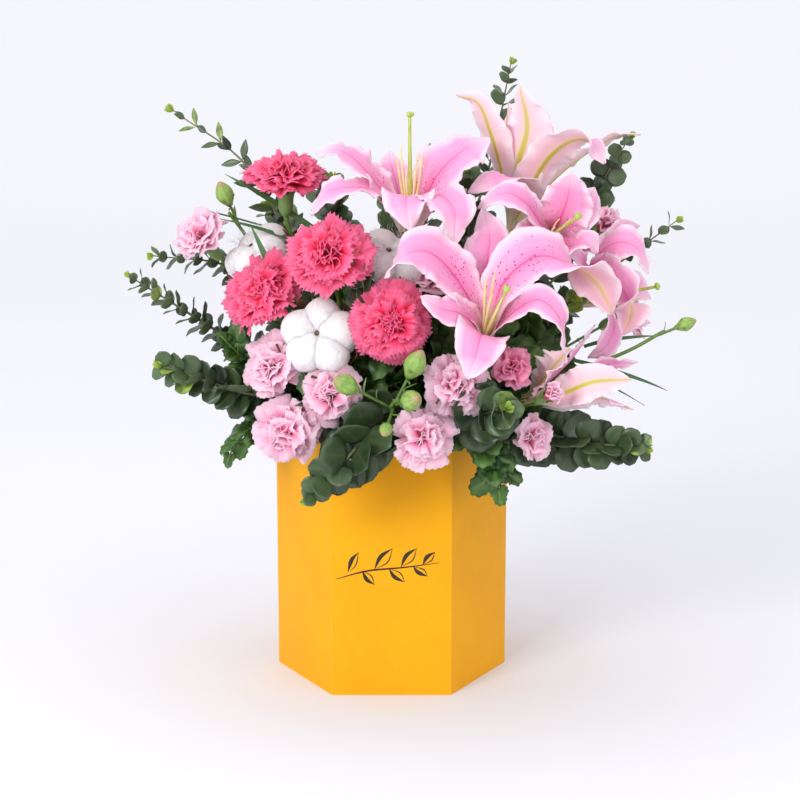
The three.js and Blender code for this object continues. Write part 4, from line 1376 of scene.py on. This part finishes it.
def make_buds():
    stems = {
        "bud_stem_front": (
            [(8, -32, 228), (6, -96, 240), (0, -138, 256), (6, -152, 266)],
            [
                ((4, -148, 263), (16, -156, 288), 18),
                ((0, -138, 256), (-30, -160, 276), 17),
                ((4, -146, 260), (13, -164, 266), 17),
                ((2, -140, 256), (-3, -164, 246), 11),
            ],
        ),
        "bud_stem_left": (
            [(-20, 32, 214), (-80, 34, 300), (-120, 10, 370), (-136, -14, 398)],
            [((-128, -6, 386), (-137, -16, 409), 16)],
        ),
        "bud_stem_right": (
            [(48, -22, 222), (112, -46, 256), (184, -72, 286), (222, -80, 308)],
            [((214, -78, 303), (235, -80, 312), 12)],
        ),
    }
    for k, (node, (path, ends)) in enumerate(stems.items()):
        rng = np.random.default_rng(400 + k)
        parts = [tube(smooth_path(path, 24), 1.5, 8, material=1)]
        for low, high, size in ends:
            parts += bud_parts(vec(*low), vec(*high), size, rng)
        make_piece(node + "_buds", parts, [BUD, STEM, CALYX], BODY_OF[node], [node])


def make_straps():
    """Narrow leaves of the carnations, standing out between the flowers."""
    rng = np.random.default_rng(500)
    straps = [
        ((-60, -10, 380), (-136, -22, 436), 7),
        ((-70, -20, 372), (-140, -50, 400), 6),
        ((-88, -60, 330), (-112, -70, 395), 6),
        ((150, -60, 280), (232, -62, 262), 6),
        ((150, -66, 272), (214, -58, 248), 5),
        ((160, -50, 290), (222, -44, 308), 5),
        ((-90, 0, 380), (-158, -16, 402), 5),
        ((60, -120, 262), (92, -150, 262), 6),
        ((-60, -100, 250), (-72, -140, 262), 6),
    ]
    parts = []
    for start, end, width in straps:
        start, end = vec(*start), vec(*end)
        length = np.linalg.norm(end - start)
        face, curl = vec(0, -0.5, 1) + rng.normal(size=3) * 0.3, rng.uniform(0.0, 0.2)
        parts.append(leaf(start, end - start, face, length, width, BLADE, rng, 14, 0.3, curl, under=0))
    make_piece("strap_leaves", parts, [STRAP], "insert")


# ---- the set ------------------------------------------------------------------------------------
def look_at(thing, target):
    """Turns a camera or a light toward a point."""
    thing.rotation_euler = (Vector(target) - thing.location).to_track_quat("-Z", "Y").to_euler()


CAMERA_PLACE, CAMERA_TARGET = (0.0072, -1.5798, 0.5373), (0.0072, 0, 0.2357)
FOCAL_LENGTH, SENSOR_WIDTH = 84, 36
FLOOR_SIZE, FLOOR_MIDDLE = (60, 43.4, 1), (0, -18.3, 0)  # the floor's far edge is 3.4 m behind the box
CURVE_STEPS, CURVE_STEP, BACKDROP_HEIGHT = 12, 0.26, 9


def make_camera():
    data = bpy.data.cameras.new("view")
    data.lens = FOCAL_LENGTH
    data.sensor_width = SENSOR_WIDTH
    camera = bpy.data.objects.new("view", data)
    bpy.context.scene.collection.objects.link(camera)
    camera.location = CAMERA_PLACE
    look_at(camera, CAMERA_TARGET)
    bpy.context.scene.camera = camera


def make_light(name, location, target, power, size):
    data = bpy.data.lights.new(name, "AREA")
    data.energy = power
    data.size = size
    light = bpy.data.objects.new(name, data)
    bpy.context.scene.collection.objects.link(light)
    light.location = location
    look_at(light, target)


def make_set():
    """A pale floor that curves up into a pale backdrop, far behind."""
    nothing_selected()
    bpy.ops.mesh.primitive_plane_add(size=1, location=(0, 0, 0))
    floor = bpy.context.object
    floor.name = "floor"
    floor.scale = FLOOR_SIZE
    floor.location = FLOOR_MIDDLE
    settle(floor)
    edit(floor)
    bpy.ops.mesh.select_mode(type="EDGE")
    leave_edit()
    for edge in floor.data.edges:
        edge.select = all(floor.data.vertices[v].co.y > 3 for v in edge.vertices)
    bpy.ops.object.mode_set(mode="EDIT")
    for k in range(CURVE_STEPS):
        angle = math.radians(90 / CURVE_STEPS * (k + 0.5))
        step = (0, CURVE_STEP * math.cos(angle), CURVE_STEP * math.sin(angle))
        bpy.ops.mesh.extrude_edges_move(TRANSFORM_OT_translate={"value": step})
    bpy.ops.mesh.extrude_edges_move(TRANSFORM_OT_translate={"value": (0, 0, BACKDROP_HEIGHT)})
    bpy.ops.mesh.select_all(action="SELECT")
    bpy.ops.mesh.normals_make_consistent(inside=True)
    leave_edit()
    if floor.data.polygons[0].normal.z < 0:
        floor.data.flip_normals()
    bpy.ops.object.shade_smooth()
    f = Finish("floor", 0.9)
    f.shader.inputs["Specular IOR Level"].default_value = 0.0
    # painted light and shade: the floor is darker at the front and round the box, and lighter toward the backdrop
    away = f.plus(f.times(f.split(f.place())[1], 0.25), f.times(f.noise(f.place(), 2, 2), 0.02))
    f.colour(f.ramp(away, (0.06, rgb(234, 234, 238)), (0.5, rgb(246, 246, 249)), (1.0, rgb(250, 250, 252))))
    floor.data.materials.append(f.material)
    world = bpy.data.worlds.new("studio")
    world.use_nodes = True
    world.node_tree.nodes["Background"].inputs[0].default_value = rgb(248, 248, 252)
    world.node_tree.nodes["Background"].inputs[1].default_value = 1.0
    bpy.context.scene.world = world
    bpy.context.scene.view_settings.view_transform = "Standard"
    make_light("key", (-1.2, -1.8, 1.2), (0, 0, 0.28), 26, 0.8)
    make_light("fill", (1.6, -1.4, 0.9), (0, 0, 0.25), 3, 1.2)
    make_light("top", (0.1, 0.3, 2.0), (0, 0, 0.3), 4, 1.2)


make_cover()
make_seam()
make_print()
finish_cad_nodes()
make_lilies()
make_carnations()
make_cotton("cotton_front", (0.05, -0.6, -0.1), 31, seed=21)
make_cotton("cotton_middle", (0.2, -0.2, 0.1), 30, seed=22)
make_cotton("cotton_left", (-0.1, -0.3, 0), 28, seed=23)
make_all_eucalyptus()
make_shoots()
make_leaf_sprays()
make_collar()
make_leaf_shoots()
make_buds()
make_straps()
make_camera()
make_set()
